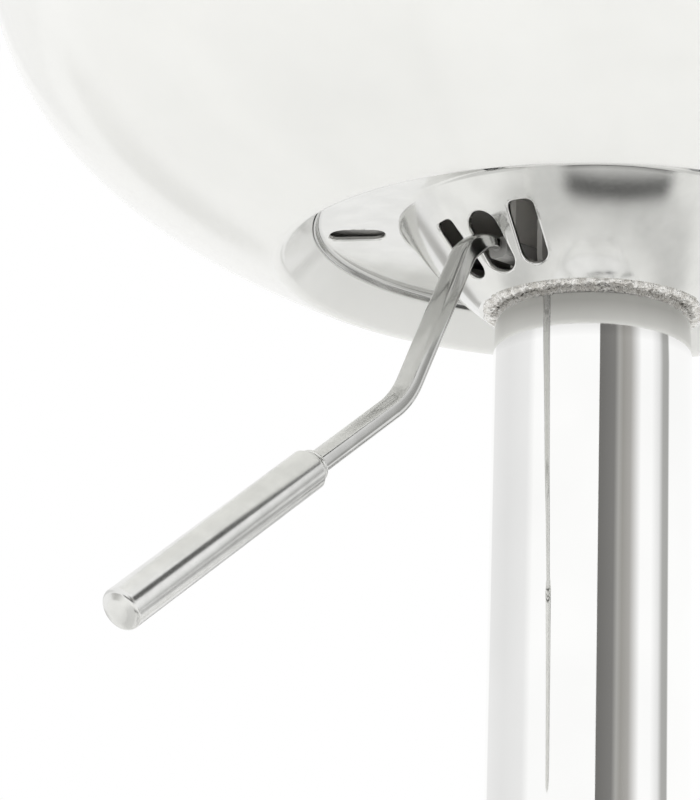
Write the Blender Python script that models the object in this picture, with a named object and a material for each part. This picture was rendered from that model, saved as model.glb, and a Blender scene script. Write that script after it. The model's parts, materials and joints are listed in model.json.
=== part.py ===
"""Gas-lift bar stool with a white bowl seat, modelled as separate pieces.

Units are metres. The column stands on the Z axis, the floor is z = 0 and the sitter faces -Y.
The stool is at rest with the seat at its lowest height and the lever down.
"""

import math

import bmesh
import bpy
from mathutils import Matrix, Vector

# Clearances
GAP = 0.0003  # between pieces that touch
RUN = 0.0004  # round pieces that slide or turn

# Column, from the weld under the seat down to the floor
WELD_Z = 0.545  # weld between column tube and bell, with the seat at its lowest
STROKE = 0.210  # travel of the gas spring
TUBE_RADIUS = 0.030
TUBE_WALL = 0.0015
TUBE_CLEARANCE = 0.0907  # from the neck collar of the base up to the tube
TUBE_RISE = 0.003  # above the weld, inside the bell
GLIDE_WALL = 0.0035  # between pillar and tube
PILLAR_WALL = 0.002
PILLAR_DROP = 0.045  # from the weld down to the top of the pillar
BUSH_LENGTH = 0.070
BUSH_LIP = 0.003
GLIDE_LENGTH = 0.022
GLIDE_LIP = 0.0025

# Gas spring and its thrust bearing
CYLINDER_RADIUS = 0.014
CYLINDER_WALL = 0.0016
CYLINDER_CAP = 0.012  # thickness of the cylinder's closed end
CYLINDER_RISE = 0.004  # of the closed end above the weld
TAPER_LENGTH = 0.034
TAPER_DRAW = 0.0009  # narrowing of the taper over its length
GLAND_LENGTH = 0.016
ROD_RADIUS = 0.005
ROD_END_STEP = 0.001  # the rod's end is thinner by this
PISTON_LENGTH = 0.014
BUFFER_LENGTH = 0.018
BUFFER_RADIUS = 0.012
RACE_RADIUS = 0.015
RACE_THICKNESS = 0.0025
BALL_RADIUS = 0.0021
BALL_COUNT = 7
CAGE_THICKNESS = 0.0014
CLIP_THICKNESS = 0.0012
CLIP_WIDTH = 0.0036
VALVE_RADIUS = 0.004
VALVE_COLLAR = 0.0055

# Base
BASE_RADIUS = 0.190
BASE_HEIGHT = 0.082
BASE_SHEET = 0.0016
BASE_EDGE_ROUND = 0.004
FLOOR_RING_HEIGHT = 0.004
FLOOR_RING_WIDTH = 0.020
BALLAST_THICKNESS = 0.010
BALLAST_CLEARANCE = 0.003  # of its hole round the pillar
FOOT_RADIUS = 0.055
FOOT_THICKNESS = 0.006
FOOT_BOLT_COUNT = 3
FOOT_BOLT_RADIUS = 0.0038
FOOT_BOLT_HEAD = 0.0062
FOOT_BOLT_HEAD_HEIGHT = 0.0045
HEAD_CLEARANCE = 0.001  # round a bolt's head in its well
NECK_HEIGHT = 0.007
NECK_WALL = 0.004

# Bell, pressed with its flange from one sheet; heights are above the weld
SHEET = 0.002
FLANGE_RISE = 0.0295
FLANGE_RADIUS = 0.0866
RIM_DEPTH = 0.0037
RIM_ROUND = 0.0026
BELL_TOP_RADIUS = 0.0585
BELL_FOOT = 0.0045  # flat part round the tube
BELL_FOOT_RISE = 0.0022
BELL_SLOT_LENGTH = 0.0205
BELL_SLOT_WIDTH = 0.0082
LEVER_SLOT_CLEARANCE = 0.0011  # each side of the lever
BELL_SLOT_SPACING = 16.8  # degrees between the lever's slot and its neighbours
FLANGE_SLOT_SHARE = 0.6  # of the flange's width
FLANGE_SLOT_WIDTH = 0.0086
FLANGE_SLOT_ANGLE = 173.0  # degrees from +X, first of the four
WELD_SIZE = 0.0035

# Seat; heights are above the weld
PLATE_MARGIN = 0.0026  # inside the flange's rim
PLATE_THICKNESS = 0.0025
PAD_THICKNESS = 0.0095
RECESS_MARGIN = 0.0049  # outside the flange's rim
LIP_RISE = 0.0150
LIP_WIDTH = 0.004
SEAT_RADIUS = 0.1915
SEAT_WIDE_RISE = 0.131
SEAT_WALL = 0.004
SEAT_BUILD = 0.026  # outside to inside of the hollow wall
SEAT_RISE = 0.076  # sitting surface at the middle
DISH_RADIUS = 0.098  # of the nearly flat middle
DISH_DEPTH = 0.003
FRONT_EDGE = 0.038  # edge above the sitting surface
BACK_EDGE = 0.224
BACK_CURVE = 1.3
RIB_RADIUS = 0.060
TONGUE_LENGTH = 0.008
TONGUE_WALL = 0.0025
SEAT_SCREW_RADIUS = 0.003
SEAT_SCREW_HEAD = 0.0056
SEAT_SCREW_HEAD_HEIGHT = 0.0033
SEAT_SCREW_ANGLE = 64.5  # degrees from the X axis
INSERT_RADIUS = 0.0046

# Lever; the path runs outwards in a plane through the column
LEVER_ANGLE = 228.7  # degrees from +X
LEVER_RISE = 0.012  # of the inner arm above the weld
PIVOT_RADIUS = 0.022  # from the column's axis to the pin
LEVER_WIDTH = 0.0072
LEVER_HEIGHT = 0.0064
LEVER_TIP = 0.005  # of the arm past the column's axis
LEVER_FLAT = 0.8  # height of the bar's pressed end, share of the bar's height
ARM_OUT = 0.0425  # shoulder of the inner arm, from the column's axis
TANG_RADIUS = 0.0013
TANG_LENGTH = 0.0050
KNEE_OUT = 0.0545  # first bend, from the column's axis
ELBOW_OUT = 0.0809  # second bend
ELBOW_DROP = 0.0430  # of the second bend below the weld
LEVER_END_OUT = 0.1817
LEVER_END_DROP = 0.1209
KNEE_BEND = 0.014
ELBOW_BEND = 0.028
GRIP_LENGTH = 0.0825
GRIP_RADIUS = 0.0059
GRIP_BORE_DEPTH = 0.030
GRIP_DOME = 0.0016
SPIGOT_RADIUS = 0.0031
COLLAR_LENGTH = 0.0026
PIN_RADIUS = 0.0024
PIN_HEAD = 0.0042
EAR_THICKNESS = 0.002
EAR_LIFT = 0.0006  # of the ears above the tube
EAR_CLEARANCE = 0.0008

# Footrest, on the lower end of the column tube
FOOTREST_BAR = 0.011  # radius
FOOTREST_WALL = 0.0015
FOOTREST_LIFT = 0.042  # of the bar above the tube's lower end
FOOTREST_REACH = 0.178
FOOTREST_WIDTH = 0.230
COLLAR_WALL = 0.005
COLLAR_HEIGHT = 0.036
SET_SCREW_RADIUS = 0.003

# Facets
BELL = 30
FINE = 28
ROUND = 24
MEDIUM = 14
BAR = 12
SMALL = 8

# Sizes that follow
TUBE_BORE = TUBE_RADIUS - TUBE_WALL
PILLAR_RADIUS = TUBE_BORE - GLIDE_WALL
PILLAR_BORE = PILLAR_RADIUS - PILLAR_WALL
ROD_END_RADIUS = ROD_RADIUS - ROD_END_STEP
BALLAST_HOLE = PILLAR_RADIUS + BALLAST_CLEARANCE
BELL_FOOT_RADIUS = TUBE_RADIUS + BELL_FOOT
LEVER_SLOT_WIDTH = LEVER_WIDTH + 2 * LEVER_SLOT_CLEARANCE
FLANGE_WIDTH = FLANGE_RADIUS - BELL_TOP_RADIUS
FLANGE_SLOT_LENGTH = FLANGE_WIDTH * FLANGE_SLOT_SHARE
FLANGE_SLOT_RADIUS = BELL_TOP_RADIUS + FLANGE_WIDTH * 0.534
SEAT_SCREW_CIRCLE = BELL_TOP_RADIUS + FLANGE_WIDTH * 0.42
PLATE_RADIUS = FLANGE_RADIUS - PLATE_MARGIN
RECESS_RADIUS = FLANGE_RADIUS + RECESS_MARGIN
LIP_RADIUS = RECESS_RADIUS + LIP_WIDTH
FRONT_RISE = SEAT_RISE + FRONT_EDGE
BACK_RISE = SEAT_RISE + BACK_EDGE
EAR_RADIUS = LEVER_RISE - TUBE_RISE - EAR_LIFT
ARM_SHOULDER = ARM_OUT - PIVOT_RADIUS

# Heights that follow
RING_TOP = FLOOR_RING_HEIGHT
BALLAST_Z = RING_TOP + GAP
BALLAST_TOP = BALLAST_Z + BALLAST_THICKNESS
FOOT_Z = BALLAST_TOP + GAP
FOOT_TOP = FOOT_Z + FOOT_THICKNESS
LOWER_RACE_Z = FOOT_TOP + GAP
BALL_Z = LOWER_RACE_Z + RACE_THICKNESS + GAP + BALL_RADIUS
UPPER_RACE_Z = BALL_Z + BALL_RADIUS + GAP
ROD_SHOULDER_Z = UPPER_RACE_Z + RACE_THICKNESS + GAP
CYLINDER_Z = ROD_SHOULDER_Z + BUFFER_LENGTH + GAP
CYLINDER_TOP = WELD_Z + CYLINDER_RISE
CYLINDER_BORE = CYLINDER_RADIUS - CYLINDER_WALL
GLAND_Z = CYLINDER_Z + CYLINDER_WALL + GAP
PISTON_Z = GLAND_Z + GLAND_LENGTH + STROKE + 0.010
PILLAR_TOP = WELD_Z - PILLAR_DROP
TUBE_BOTTOM = BASE_HEIGHT + GAP + NECK_HEIGHT + TUBE_CLEARANCE
FLANGE_Z = WELD_Z + FLANGE_RISE
PLATE_Z = FLANGE_Z + SHEET + GAP
PAD_Z = PLATE_Z + PLATE_THICKNESS + GAP
PAD_TOP = PAD_Z + PAD_THICKNESS
PIVOT_Z = WELD_Z + LEVER_RISE
VALVE_TOP = PIVOT_Z - LEVER_HEIGHT / 2 - GAP
LEVER_TURN = math.radians(LEVER_ANGLE)
EAR_INSIDE = LEVER_WIDTH / 2 + EAR_CLEARANCE
EAR_OUTSIDE = EAR_INSIDE + EAR_THICKNESS
FOOTREST_Z = TUBE_BOTTOM + FOOTREST_LIFT


def clear_scene():
    for obj in list(bpy.data.objects):
        bpy.data.objects.remove(obj, do_unlink=True)


def make_material(name, colour, roughness, metallic):
    material = bpy.data.materials.new(name)
    material.use_nodes = True
    shader = material.node_tree.nodes["Principled BSDF"]
    shader.inputs["Base Color"].default_value = (*colour, 1.0)
    shader.inputs["Roughness"].default_value = roughness
    shader.inputs["Metallic"].default_value = metallic
    return material


def make_empty(name, location=(0, 0, 0), turn=0.0, parent=None):
    empty = bpy.data.objects.new(name, None)
    empty.empty_display_size = 0.03
    empty.location = location
    empty.rotation_euler = (0, 0, turn)
    empty.parent = parent
    bpy.context.scene.collection.objects.link(empty)
    return empty


def make_object(name, bm, material=None, parent=None, sharp=35.0):
    """Turns a bmesh into a linked object, shaded smooth below the sharp angle in degrees."""
    bmesh.ops.recalc_face_normals(bm, faces=bm.faces)
    mesh = bpy.data.meshes.new(name)
    bm.to_mesh(mesh)
    bm.free()
    mesh.shade_smooth()
    mesh.set_sharp_from_angle(angle=math.radians(sharp))
    obj = bpy.data.objects.new(name, mesh)
    if material:
        mesh.materials.append(material)
    obj.parent = parent
    bpy.context.scene.collection.objects.link(obj)
    return obj


def boolean(obj, other, operation="DIFFERENCE"):
    """Adds a Boolean and turns the other object into a wire helper that doesn't render."""
    modifier = obj.modifiers.new(f"{operation.title()} {other.name}", "BOOLEAN")
    modifier.operation = operation
    modifier.solver = "EXACT"
    modifier.object = other
    other.hide_render = True
    other.display_type = "WIRE"


def bezier(start, first, second, end, count):
    """Points of a cubic curve, both ends included."""
    points = []
    for i in range(count + 1):
        t = i / count
        s = 1 - t
        weights = (s**3, 3 * s * s * t, 3 * s * t * t, t**3)
        corners = (start, first, second, end)
        points.append(
            Vector(sum(w * c[k] for w, c in zip(weights, corners)) for k in (0, 1))
        )
    return points


def rounded(corners, segments=4, closed=False):
    """A path through the corners (x, y) or (x, y, radius), with arcs where a radius is given."""
    points = []
    last = len(corners) - 1
    for i, corner in enumerate(corners):
        here = Vector(corner[:2])
        if len(corner) == 2 or (not closed and i in (0, last)):
            points.append(here)
            continue
        before = (Vector(corners[i - 1][:2]) - here).normalized()
        after = (Vector(corners[(i + 1) % (last + 1)][:2]) - here).normalized()
        half = before.angle(after) / 2
        middle = here + (before + after).normalized() * corner[2] / math.sin(half)
        start = here + before * corner[2] / math.tan(half) - middle
        left_turn = before.y * after.x - before.x * after.y
        sweep = math.copysign(math.pi - 2 * half, left_turn)
        for k in range(segments + 1):
            points.append(middle + Matrix.Rotation(sweep * k / segments, 2) @ start)
    return points


def offset(points, distance):
    """The path moved sideways, to the left of its direction where the distance is positive."""
    moved = []
    for i, point in enumerate(points):
        ahead = points[min(i + 1, len(points) - 1)]
        behind = points[max(i - 1, 0)]
        along = (ahead - behind).normalized()
        moved.append(point + Vector((-along.y, along.x)) * distance)
    return moved


def sheet_section(path, thickness):
    """Closed section of a sheet; its far side, moved to the left, has every second point."""
    far = offset(path, thickness)
    kept = far[:1] + far[1:-2:2] + far[-2:]
    return path + kept[::-1]


def lathe(name, profile, material=None, parent=None, steps=ROUND):
    """Spins a profile of (radius, height) points; one that starts and ends at radius 0 is solid."""
    bm = bmesh.new()
    verts = [bm.verts.new((p[0], 0, p[1])) for p in profile]
    edges = [bm.edges.new(pair) for pair in zip(verts, verts[1:])]
    if profile[0][0] > 0 or profile[-1][0] > 0:
        edges.append(bm.edges.new((verts[-1], verts[0])))
    bmesh.ops.spin(
        bm,
        geom=verts + edges,
        cent=(0, 0, 0),
        axis=(0, 0, 1),
        angle=math.tau,
        steps=steps,
        use_merge=True,
    )
    bmesh.ops.remove_doubles(bm, verts=bm.verts, dist=1e-7)
    return make_object(name, bm, material, parent)


def ring_profile(inner, outer, low, high, edge=0.0):
    """Rectangle between two radii and two heights, its corners broken by the edge radius."""
    corners = [(inner, low), (outer, low), (outer, high), (inner, high)]
    if not edge:
        return [Vector(c) for c in corners]
    return rounded([(*c, edge) for c in corners], 1, closed=True)


def loft(name, rings, material=None, parent=None, around=False):
    """Skins rings of equal count; around joins the last to the first, otherwise ends are capped."""
    bm = bmesh.new()
    rows = [[bm.verts.new(p) for p in ring] for ring in rings]
    pairs = list(zip(rows, rows[1:]))
    if around:
        pairs.append((rows[-1], rows[0]))
    count = len(rows[0])
    for a, b in pairs:
        for k in range(count):
            n = (k + 1) % count
            bm.faces.new((a[k], a[n], b[n], b[k]))
    if not around:
        bm.faces.new(rows[0])
        bm.faces.new(rows[-1])
    bmesh.ops.remove_doubles(bm, verts=bm.verts, dist=1e-7)
    return make_object(name, bm, material, parent)


def cylinder(name, radius, depth, matrix, material=None, parent=None, steps=SMALL):
    """A cylinder along the matrix's Z axis, centred on its origin."""
    bm = bmesh.new()
    bmesh.ops.create_cone(
        bm,
        cap_ends=True,
        segments=steps,
        radius1=radius,
        radius2=radius,
        depth=depth,
        matrix=matrix,
    )
    return make_object(name, bm, material, parent)


def box(name, size, matrix, material=None, parent=None):
    bm = bmesh.new()
    scale = Matrix.Diagonal((*size, 1.0))
    bmesh.ops.create_cube(bm, size=1.0, matrix=matrix @ scale)
    return make_object(name, bm, material, parent)


def slot_cutter(name, length, width, depth, matrix):
    """A prism with round ends, long along the matrix's X axis and extruded along its Z axis."""
    bm = bmesh.new()
    outline = []
    for side in (1, -1):
        for k in range(6):
            angle = math.pi * (k / 5 - side / 2)
            x = side * (length - width) / 2 + width / 2 * math.cos(angle)
            outline.append(matrix @ Vector((x, width / 2 * math.sin(angle), -depth / 2)))
    face = bm.faces.new([bm.verts.new(p) for p in outline])
    grown = bmesh.ops.extrude_face_region(bm, geom=[face])
    top = [v for v in grown["geom"] if isinstance(v, bmesh.types.BMVert)]
    bmesh.ops.translate(bm, verts=top, vec=matrix.to_3x3() @ Vector((0, 0, depth)))
    return make_object(name, bm)


def spot(x, y, z, turn=0.0):
    """Placement at a point, turned about Z."""
    return Matrix.Translation((x, y, z)) @ Matrix.Rotation(turn, 4, "Z")


def bell_profile():
    """Lower side of bell and flange, from the tube outwards, as (radius, height)."""
    foot = [(TUBE_RADIUS + GAP, WELD_Z + BELL_FOOT_RISE)]
    wall = bezier(
        (BELL_FOOT_RADIUS, WELD_Z + BELL_FOOT_RISE),
        (BELL_FOOT_RADIUS + 0.0085, WELD_Z + BELL_FOOT_RISE + 0.0058),
        (BELL_TOP_RADIUS - 0.0050, FLANGE_Z - 0.0080),
        (BELL_TOP_RADIUS, FLANGE_Z - 0.0012),
        7,
    )
    top = rounded(
        [
            (BELL_TOP_RADIUS + 0.0008, FLANGE_Z - 0.0004),
            (BELL_TOP_RADIUS + 0.0022, FLANGE_Z),
            (FLANGE_RADIUS - SHEET, FLANGE_Z, RIM_ROUND),
            (FLANGE_RADIUS - SHEET, FLANGE_Z - RIM_DEPTH),
        ],
        3,
    )
    return [Vector(p) for p in foot] + wall + top


def wall_point(rise):
    """Point of the bell's lower side at a height above the weld, and its slope as a unit vector."""
    path = bell_profile()
    for a, b in zip(path, path[1:]):
        if a.y <= WELD_Z + rise <= b.y:
            share = (WELD_Z + rise - a.y) / (b.y - a.y)
            return a.lerp(b, share), (b - a).normalized()
    return path[-1], Vector((1, 0))


def build_bell(chrome, parent):
    """The pressed bell with its flange, turned-down rim, radial slots and lever slots."""
    bell = lathe("bell_flange", sheet_section(bell_profile(), SHEET), chrome, parent, BELL)
    middle, slope = wall_point(LEVER_RISE + 0.0013)
    for i in (-1, 0, 1):
        turn = LEVER_TURN + i * math.radians(BELL_SLOT_SPACING)
        width = BELL_SLOT_WIDTH if i else LEVER_SLOT_WIDTH
        along = Vector((slope.x, 0, slope.y))
        across = Vector((0, 1, 0))
        frame = Matrix((along, across, along.cross(across))).transposed().to_4x4()
        place = Matrix.Rotation(turn, 4, "Z") @ Matrix.Translation((middle.x, 0, middle.y)) @ frame
        boolean(bell, slot_cutter(f"bell_slot_cut_{i + 2}", BELL_SLOT_LENGTH, width, 0.016, place))
    for i in range(4):
        turn = math.radians(FLANGE_SLOT_ANGLE + 90 * i)
        place = Matrix.Rotation(turn, 4, "Z") @ spot(FLANGE_SLOT_RADIUS, 0, FLANGE_Z)
        cut = slot_cutter(f"flange_slot_cut_{i + 1}", FLANGE_SLOT_LENGTH, FLANGE_SLOT_WIDTH, 0.012, place)
        boolean(bell, cut)
    for i, (x, y) in enumerate(seat_screw_spots()):
        hole = cylinder(f"flange_hole_cut_{i + 1}", SEAT_SCREW_RADIUS + RUN, 0.012, spot(x, y, FLANGE_Z))
        boolean(bell, hole)
    return bell


def build_weld(steel, parent):
    """Fillet weld in the corner between tube and bell."""
    inner = TUBE_RADIUS + GAP
    top = WELD_Z + BELL_FOOT_RISE - GAP
    bead = rounded(
        [
            (inner, top - WELD_SIZE * 0.8),
            (inner + WELD_SIZE * 0.75, top - WELD_SIZE * 0.55, WELD_SIZE * 0.5),
            (inner + WELD_SIZE, top),
            (inner, top),
        ],
        3,
    )
    lathe("weld_bead", bead, steel, parent, ROUND)


def seat_screw_spots():
    half_x = SEAT_SCREW_CIRCLE * math.cos(math.radians(SEAT_SCREW_ANGLE))
    half_y = SEAT_SCREW_CIRCLE * math.sin(math.radians(SEAT_SCREW_ANGLE))
    return [(x, y) for y in (-half_y, half_y) for x in (-half_x, half_x)]


def build_seat_plate(paint, steel, parent):
    """Plate between flange and seat, with two ears bent down to carry the lever's pin."""
    plate = lathe(
        "seat_plate",
        [
            (0, PLATE_Z),
            (PLATE_RADIUS, PLATE_Z),
            (PLATE_RADIUS, PLATE_Z + PLATE_THICKNESS),
            (0, PLATE_Z + PLATE_THICKNESS),
        ],
        paint,
        parent,
        ROUND,
    )
    for i, (x, y) in enumerate(seat_screw_spots()):
        hole = cylinder(f"plate_hole_cut_{i + 1}", SEAT_SCREW_RADIUS + RUN, 0.012, spot(x, y, PLATE_Z))
        boolean(plate, hole)
    ear_height = PLATE_Z + PLATE_THICKNESS / 2 - PIVOT_Z
    for side, label in ((1, "left"), (-1, "right")):
        outline = [Vector((EAR_RADIUS, ear_height)), Vector((-EAR_RADIUS, ear_height))]
        for k in range(9):
            angle = math.pi + math.pi * k / 8
            outline.append(Vector((EAR_RADIUS * math.cos(angle), EAR_RADIUS * math.sin(angle))))
        rings = []
        for y in (EAR_INSIDE, EAR_OUTSIDE):
            rings.append([(PIVOT_RADIUS + p.x, side * y, PIVOT_Z + p.y) for p in outline])
        ear = loft(f"ear_{label}", rings)
        ear.rotation_euler = (0, 0, LEVER_TURN)
        boolean(plate, ear, "UNION")
    across = Matrix.Rotation(LEVER_TURN, 4, "Z") @ spot(PIVOT_RADIUS, 0, PIVOT_Z)
    across = across @ Matrix.Rotation(math.pi / 2, 4, "X")
    boolean(plate, cylinder("pin_hole_cut", PIN_RADIUS + RUN, 0.04, across, steps=MEDIUM))
    build_pivot_pin(steel, parent)
    return plate


def build_pivot_pin(steel, parent):
    """Headed pin through both ears, held by a clip in its groove."""
    head = 0.0015
    clip = 0.0008
    low = -EAR_OUTSIDE - GAP
    groove = EAR_OUTSIDE + GAP
    profile = [
        (0, low - head),
        (PIN_HEAD, low - head),
        (PIN_HEAD, low),
        (PIN_RADIUS, low),
        (PIN_RADIUS, groove),
        (PIN_RADIUS * 0.75, groove),
        (PIN_RADIUS * 0.75, groove + clip + 2 * GAP),
        (PIN_RADIUS, groove + clip + 2 * GAP),
        (PIN_RADIUS, groove + clip + 0.0015),
        (0, groove + clip + 0.0015),
    ]
    mount = make_empty("pin_axis", (0, 0, 0), 0.0, parent)
    mount.matrix_local = (
        Matrix.Rotation(LEVER_TURN, 4, "Z")
        @ spot(PIVOT_RADIUS, 0, PIVOT_Z)
        @ Matrix.Rotation(math.pi / 2, 4, "X")
    )
    lathe("lever_pivot_pin", profile, steel, mount, SMALL)
    ring = ring_profile(PIN_RADIUS * 0.75 + GAP, PIN_HEAD, groove + GAP, groove + GAP + clip)
    pin_clip = lathe("pin_clip", ring, steel, mount, SMALL)
    mouth = box("pin_clip_mouth_cut", (0.02, PIN_RADIUS * 1.2, 0.004), spot(0.0105, 0, groove))
    mouth.parent = mount
    boolean(pin_clip, mouth)


def rim_rise(angle):
    """Height of the seat's edge above the weld; the angle is from the front, in radians."""
    share = ((1 - math.cos(angle)) / 2) ** BACK_CURVE
    return FRONT_RISE + (BACK_RISE - FRONT_RISE) * share


def bowl_path(top, count):
    """Outside of the bowl from its lip up to a height above the weld, evenly spaced."""
    curve = bezier(
        (LIP_RADIUS, LIP_RISE),
        (LIP_RADIUS + 0.0545, LIP_RISE + 0.025),
        (SEAT_RADIUS + 0.002, SEAT_WIDE_RISE - 0.063),
        (SEAT_RADIUS, SEAT_WIDE_RISE),
        40,
    )
    curve.append(Vector((SEAT_RADIUS - 0.006, BACK_RISE)))
    kept = [p for p in curve if p.y < top - 1e-6]
    a, b = kept[-1], curve[len(kept)]
    kept.append(a.lerp(b, (top - a.y) / (b.y - a.y)))
    lengths = [0.0]
    for p, q in zip(kept, kept[1:]):
        lengths.append(lengths[-1] + (q - p).length)
    points = []
    for i in range(count + 1):
        want = lengths[-1] * i / count
        k = 1
        while k < len(kept) - 1 and lengths[k] < want:
            k += 1
        share = (want - lengths[k - 1]) / (lengths[k] - lengths[k - 1])
        points.append(kept[k - 1].lerp(kept[k], share))
    return points


def lower_shell_profile(angle):
    """Closed section of the outer bowl: recess, lip, outside, edge, then back along the hollow."""
    seam = rim_rise(angle) - SEAT_BUILD / 2
    outside = bowl_path(seam, 9)
    floor = PAD_Z - WELD_Z
    lip_round = (LIP_RADIUS - RECESS_RADIUS) * 0.85
    recess = rounded(
        [
            (0, floor),
            (RECESS_RADIUS, floor, 0.004),
            (RECESS_RADIUS, LIP_RISE, lip_round),
            (LIP_RADIUS, LIP_RISE),
        ],
        3,
    )
    inside = offset(outside, SEAT_WALL)
    inside[-1].y = seam
    neck = LIP_RADIUS + 0.0012
    inside = [p for p in inside if p.x > neck + 0.002]
    slope = (inside[1] - inside[0]).normalized()
    corner = inside[0] - slope * (inside[0].x - neck) / slope.x
    back = [Vector((neck, floor + PAD_THICKNESS)), corner]
    inside = inside[:-3:2] + inside[-3:]
    section = recess[:-1] + outside + inside[::-1] + back[::-1]
    section.append(Vector((0, floor + PAD_THICKNESS)))
    return section


def upper_shell_profile(angle):
    """Closed section of the inner bowl: sitting side, rolled edge, tongue, then the hollow side."""
    crest = rim_rise(angle)
    roll = SEAT_BUILD / 2
    seam = crest - roll
    outside = bowl_path(seam, 2)[-1].x
    inner = outside - SEAT_BUILD
    dish = [Vector((0, SEAT_RISE)), Vector((DISH_RADIUS / 2, SEAT_RISE + DISH_DEPTH / 6))]
    wall = bezier(
        (DISH_RADIUS, SEAT_RISE + DISH_DEPTH),
        (inner - 0.020, SEAT_RISE + 0.007),
        (inner, SEAT_RISE + 0.010 + 0.35 * (seam - SEAT_RISE - 0.010)),
        (inner, seam),
        7,
    )
    sitting = dish + wall
    middle = Vector((outside - roll, seam))
    edge = []
    for k in range(1, 6):
        turn = math.pi * (1 - k / 5)
        edge.append(middle + Vector((math.cos(turn), math.sin(turn))) * roll)
    edge[-1].y += GAP
    lap = SEAT_WALL + GAP
    low = bowl_path(seam - TONGUE_LENGTH, 8)
    foot = offset(low, lap + 2 * GAP)[-1]
    thick = Vector((-TONGUE_WALL, 0))
    tongue = [Vector((outside - lap - GAP, seam + GAP)), foot, foot + thick]
    hollow = []
    for k in range(0, 4):
        turn = math.pi * k / 3
        hollow.append(middle + Vector((math.cos(turn), math.sin(turn))) * (roll - lap - TONGUE_WALL - GAP))
    under = [p + Vector((0, -SEAT_WALL)) for p in dish] + offset(wall, -SEAT_WALL)
    under = under[::-1][1::2]
    rib_low = PAD_TOP + GAP - WELD_Z
    rib_top = SEAT_RISE - SEAT_WALL
    rib = [
        Vector((RIB_RADIUS + SEAT_WALL, rib_top)),
        Vector((RIB_RADIUS + SEAT_WALL, rib_low)),
        Vector((RIB_RADIUS, rib_low)),
        Vector((RIB_RADIUS, rib_top)),
    ]
    under = [p for p in under if p.x > RIB_RADIUS + SEAT_WALL + 0.004]
    return sitting + edge + tongue + hollow + under + rib + [Vector((0, rib_top))]


def wrap(name, section_at, material, parent, steps):
    """Skins sections that change with the angle from the front, all round the column."""
    rings = []
    for i in range(steps):
        angle = math.tau * i / steps
        ring = []
        for p in section_at(angle):
            ring.append((-p.x * math.sin(angle), -p.x * math.cos(angle), WELD_Z + p.y))
        rings.append(ring)
    return loft(name, rings, material, parent, around=True)


def build_seat(plastic, brass, steel, parent):
    """Hollow bowl of two shells, fastened to plate and flange by screws in metal inserts."""
    lower = wrap("seat_lower_shell", lower_shell_profile, plastic, parent, FINE)
    wrap("seat_upper_shell", upper_shell_profile, plastic, parent, FINE)
    insert_length = PAD_THICKNESS - 0.0015
    for i, (x, y) in enumerate(seat_screw_spots()):
        pocket = cylinder(
            f"insert_pocket_cut_{i + 1}",
            INSERT_RADIUS + GAP,
            2 * (insert_length + 2 * GAP),
            spot(x, y, PAD_Z),
        )
        boolean(lower, pocket)
        low = PAD_Z + GAP
        bore = SEAT_SCREW_RADIUS + GAP
        insert = lathe(
            f"seat_insert_{i + 1}",
            ring_profile(bore, INSERT_RADIUS, low, low + insert_length),
            brass,
            parent,
            SMALL,
        )
        insert.location = (x, y, 0)
        head_top = FLANGE_Z - GAP
        head_low = head_top - SEAT_SCREW_HEAD_HEIGHT
        socket = SEAT_SCREW_RADIUS * 0.7
        screw = lathe(
            f"seat_screw_{i + 1}",
            [
                (0, head_low + 0.002),
                (socket, head_low + 0.002),
                (socket, head_low),
                (SEAT_SCREW_HEAD * 0.7, head_low),
                (SEAT_SCREW_HEAD, head_low + 0.0018),
                (SEAT_SCREW_HEAD, head_top),
                (SEAT_SCREW_RADIUS, head_top),
                (SEAT_SCREW_RADIUS, low + insert_length - 0.001),
                (0, low + insert_length - 0.001),
            ],
            steel,
            parent,
            SMALL,
        )
        screw.location = (x, y, 0)


def lever_path():
    """Centre line of the bar in its plane, from the inner arm out to the grip's collar."""
    slope = Vector((LEVER_END_OUT - ELBOW_OUT, ELBOW_DROP - LEVER_END_DROP)).normalized()
    end = Vector((LEVER_END_OUT, -LEVER_END_DROP))
    shoulder = end - slope * (GRIP_LENGTH + COLLAR_LENGTH + 2 * GAP)
    corners = [
        (ARM_OUT + GAP, LEVER_RISE),
        (KNEE_OUT, LEVER_RISE, KNEE_BEND),
        (ELBOW_OUT, -ELBOW_DROP, ELBOW_BEND),
        tuple(shoulder),
    ]
    return rounded(corners, 5), slope


def lever_section(point, along, half_width, half_height, power):
    """Ring of points across the lever; a power under 1 draws a circle out towards its corners."""
    normal = Vector((-along.y, along.x))
    ring = []
    for k in range(BAR):
        angle = math.tau * (k + 0.5) / BAR
        c = math.copysign(abs(math.cos(angle)) ** power, math.cos(angle))
        s = math.copysign(abs(math.sin(angle)) ** power, math.sin(angle))
        place = point + normal * s * half_height
        ring.append((place.x - PIVOT_RADIUS, c * half_width, place.y - LEVER_RISE))
    return ring


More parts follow.
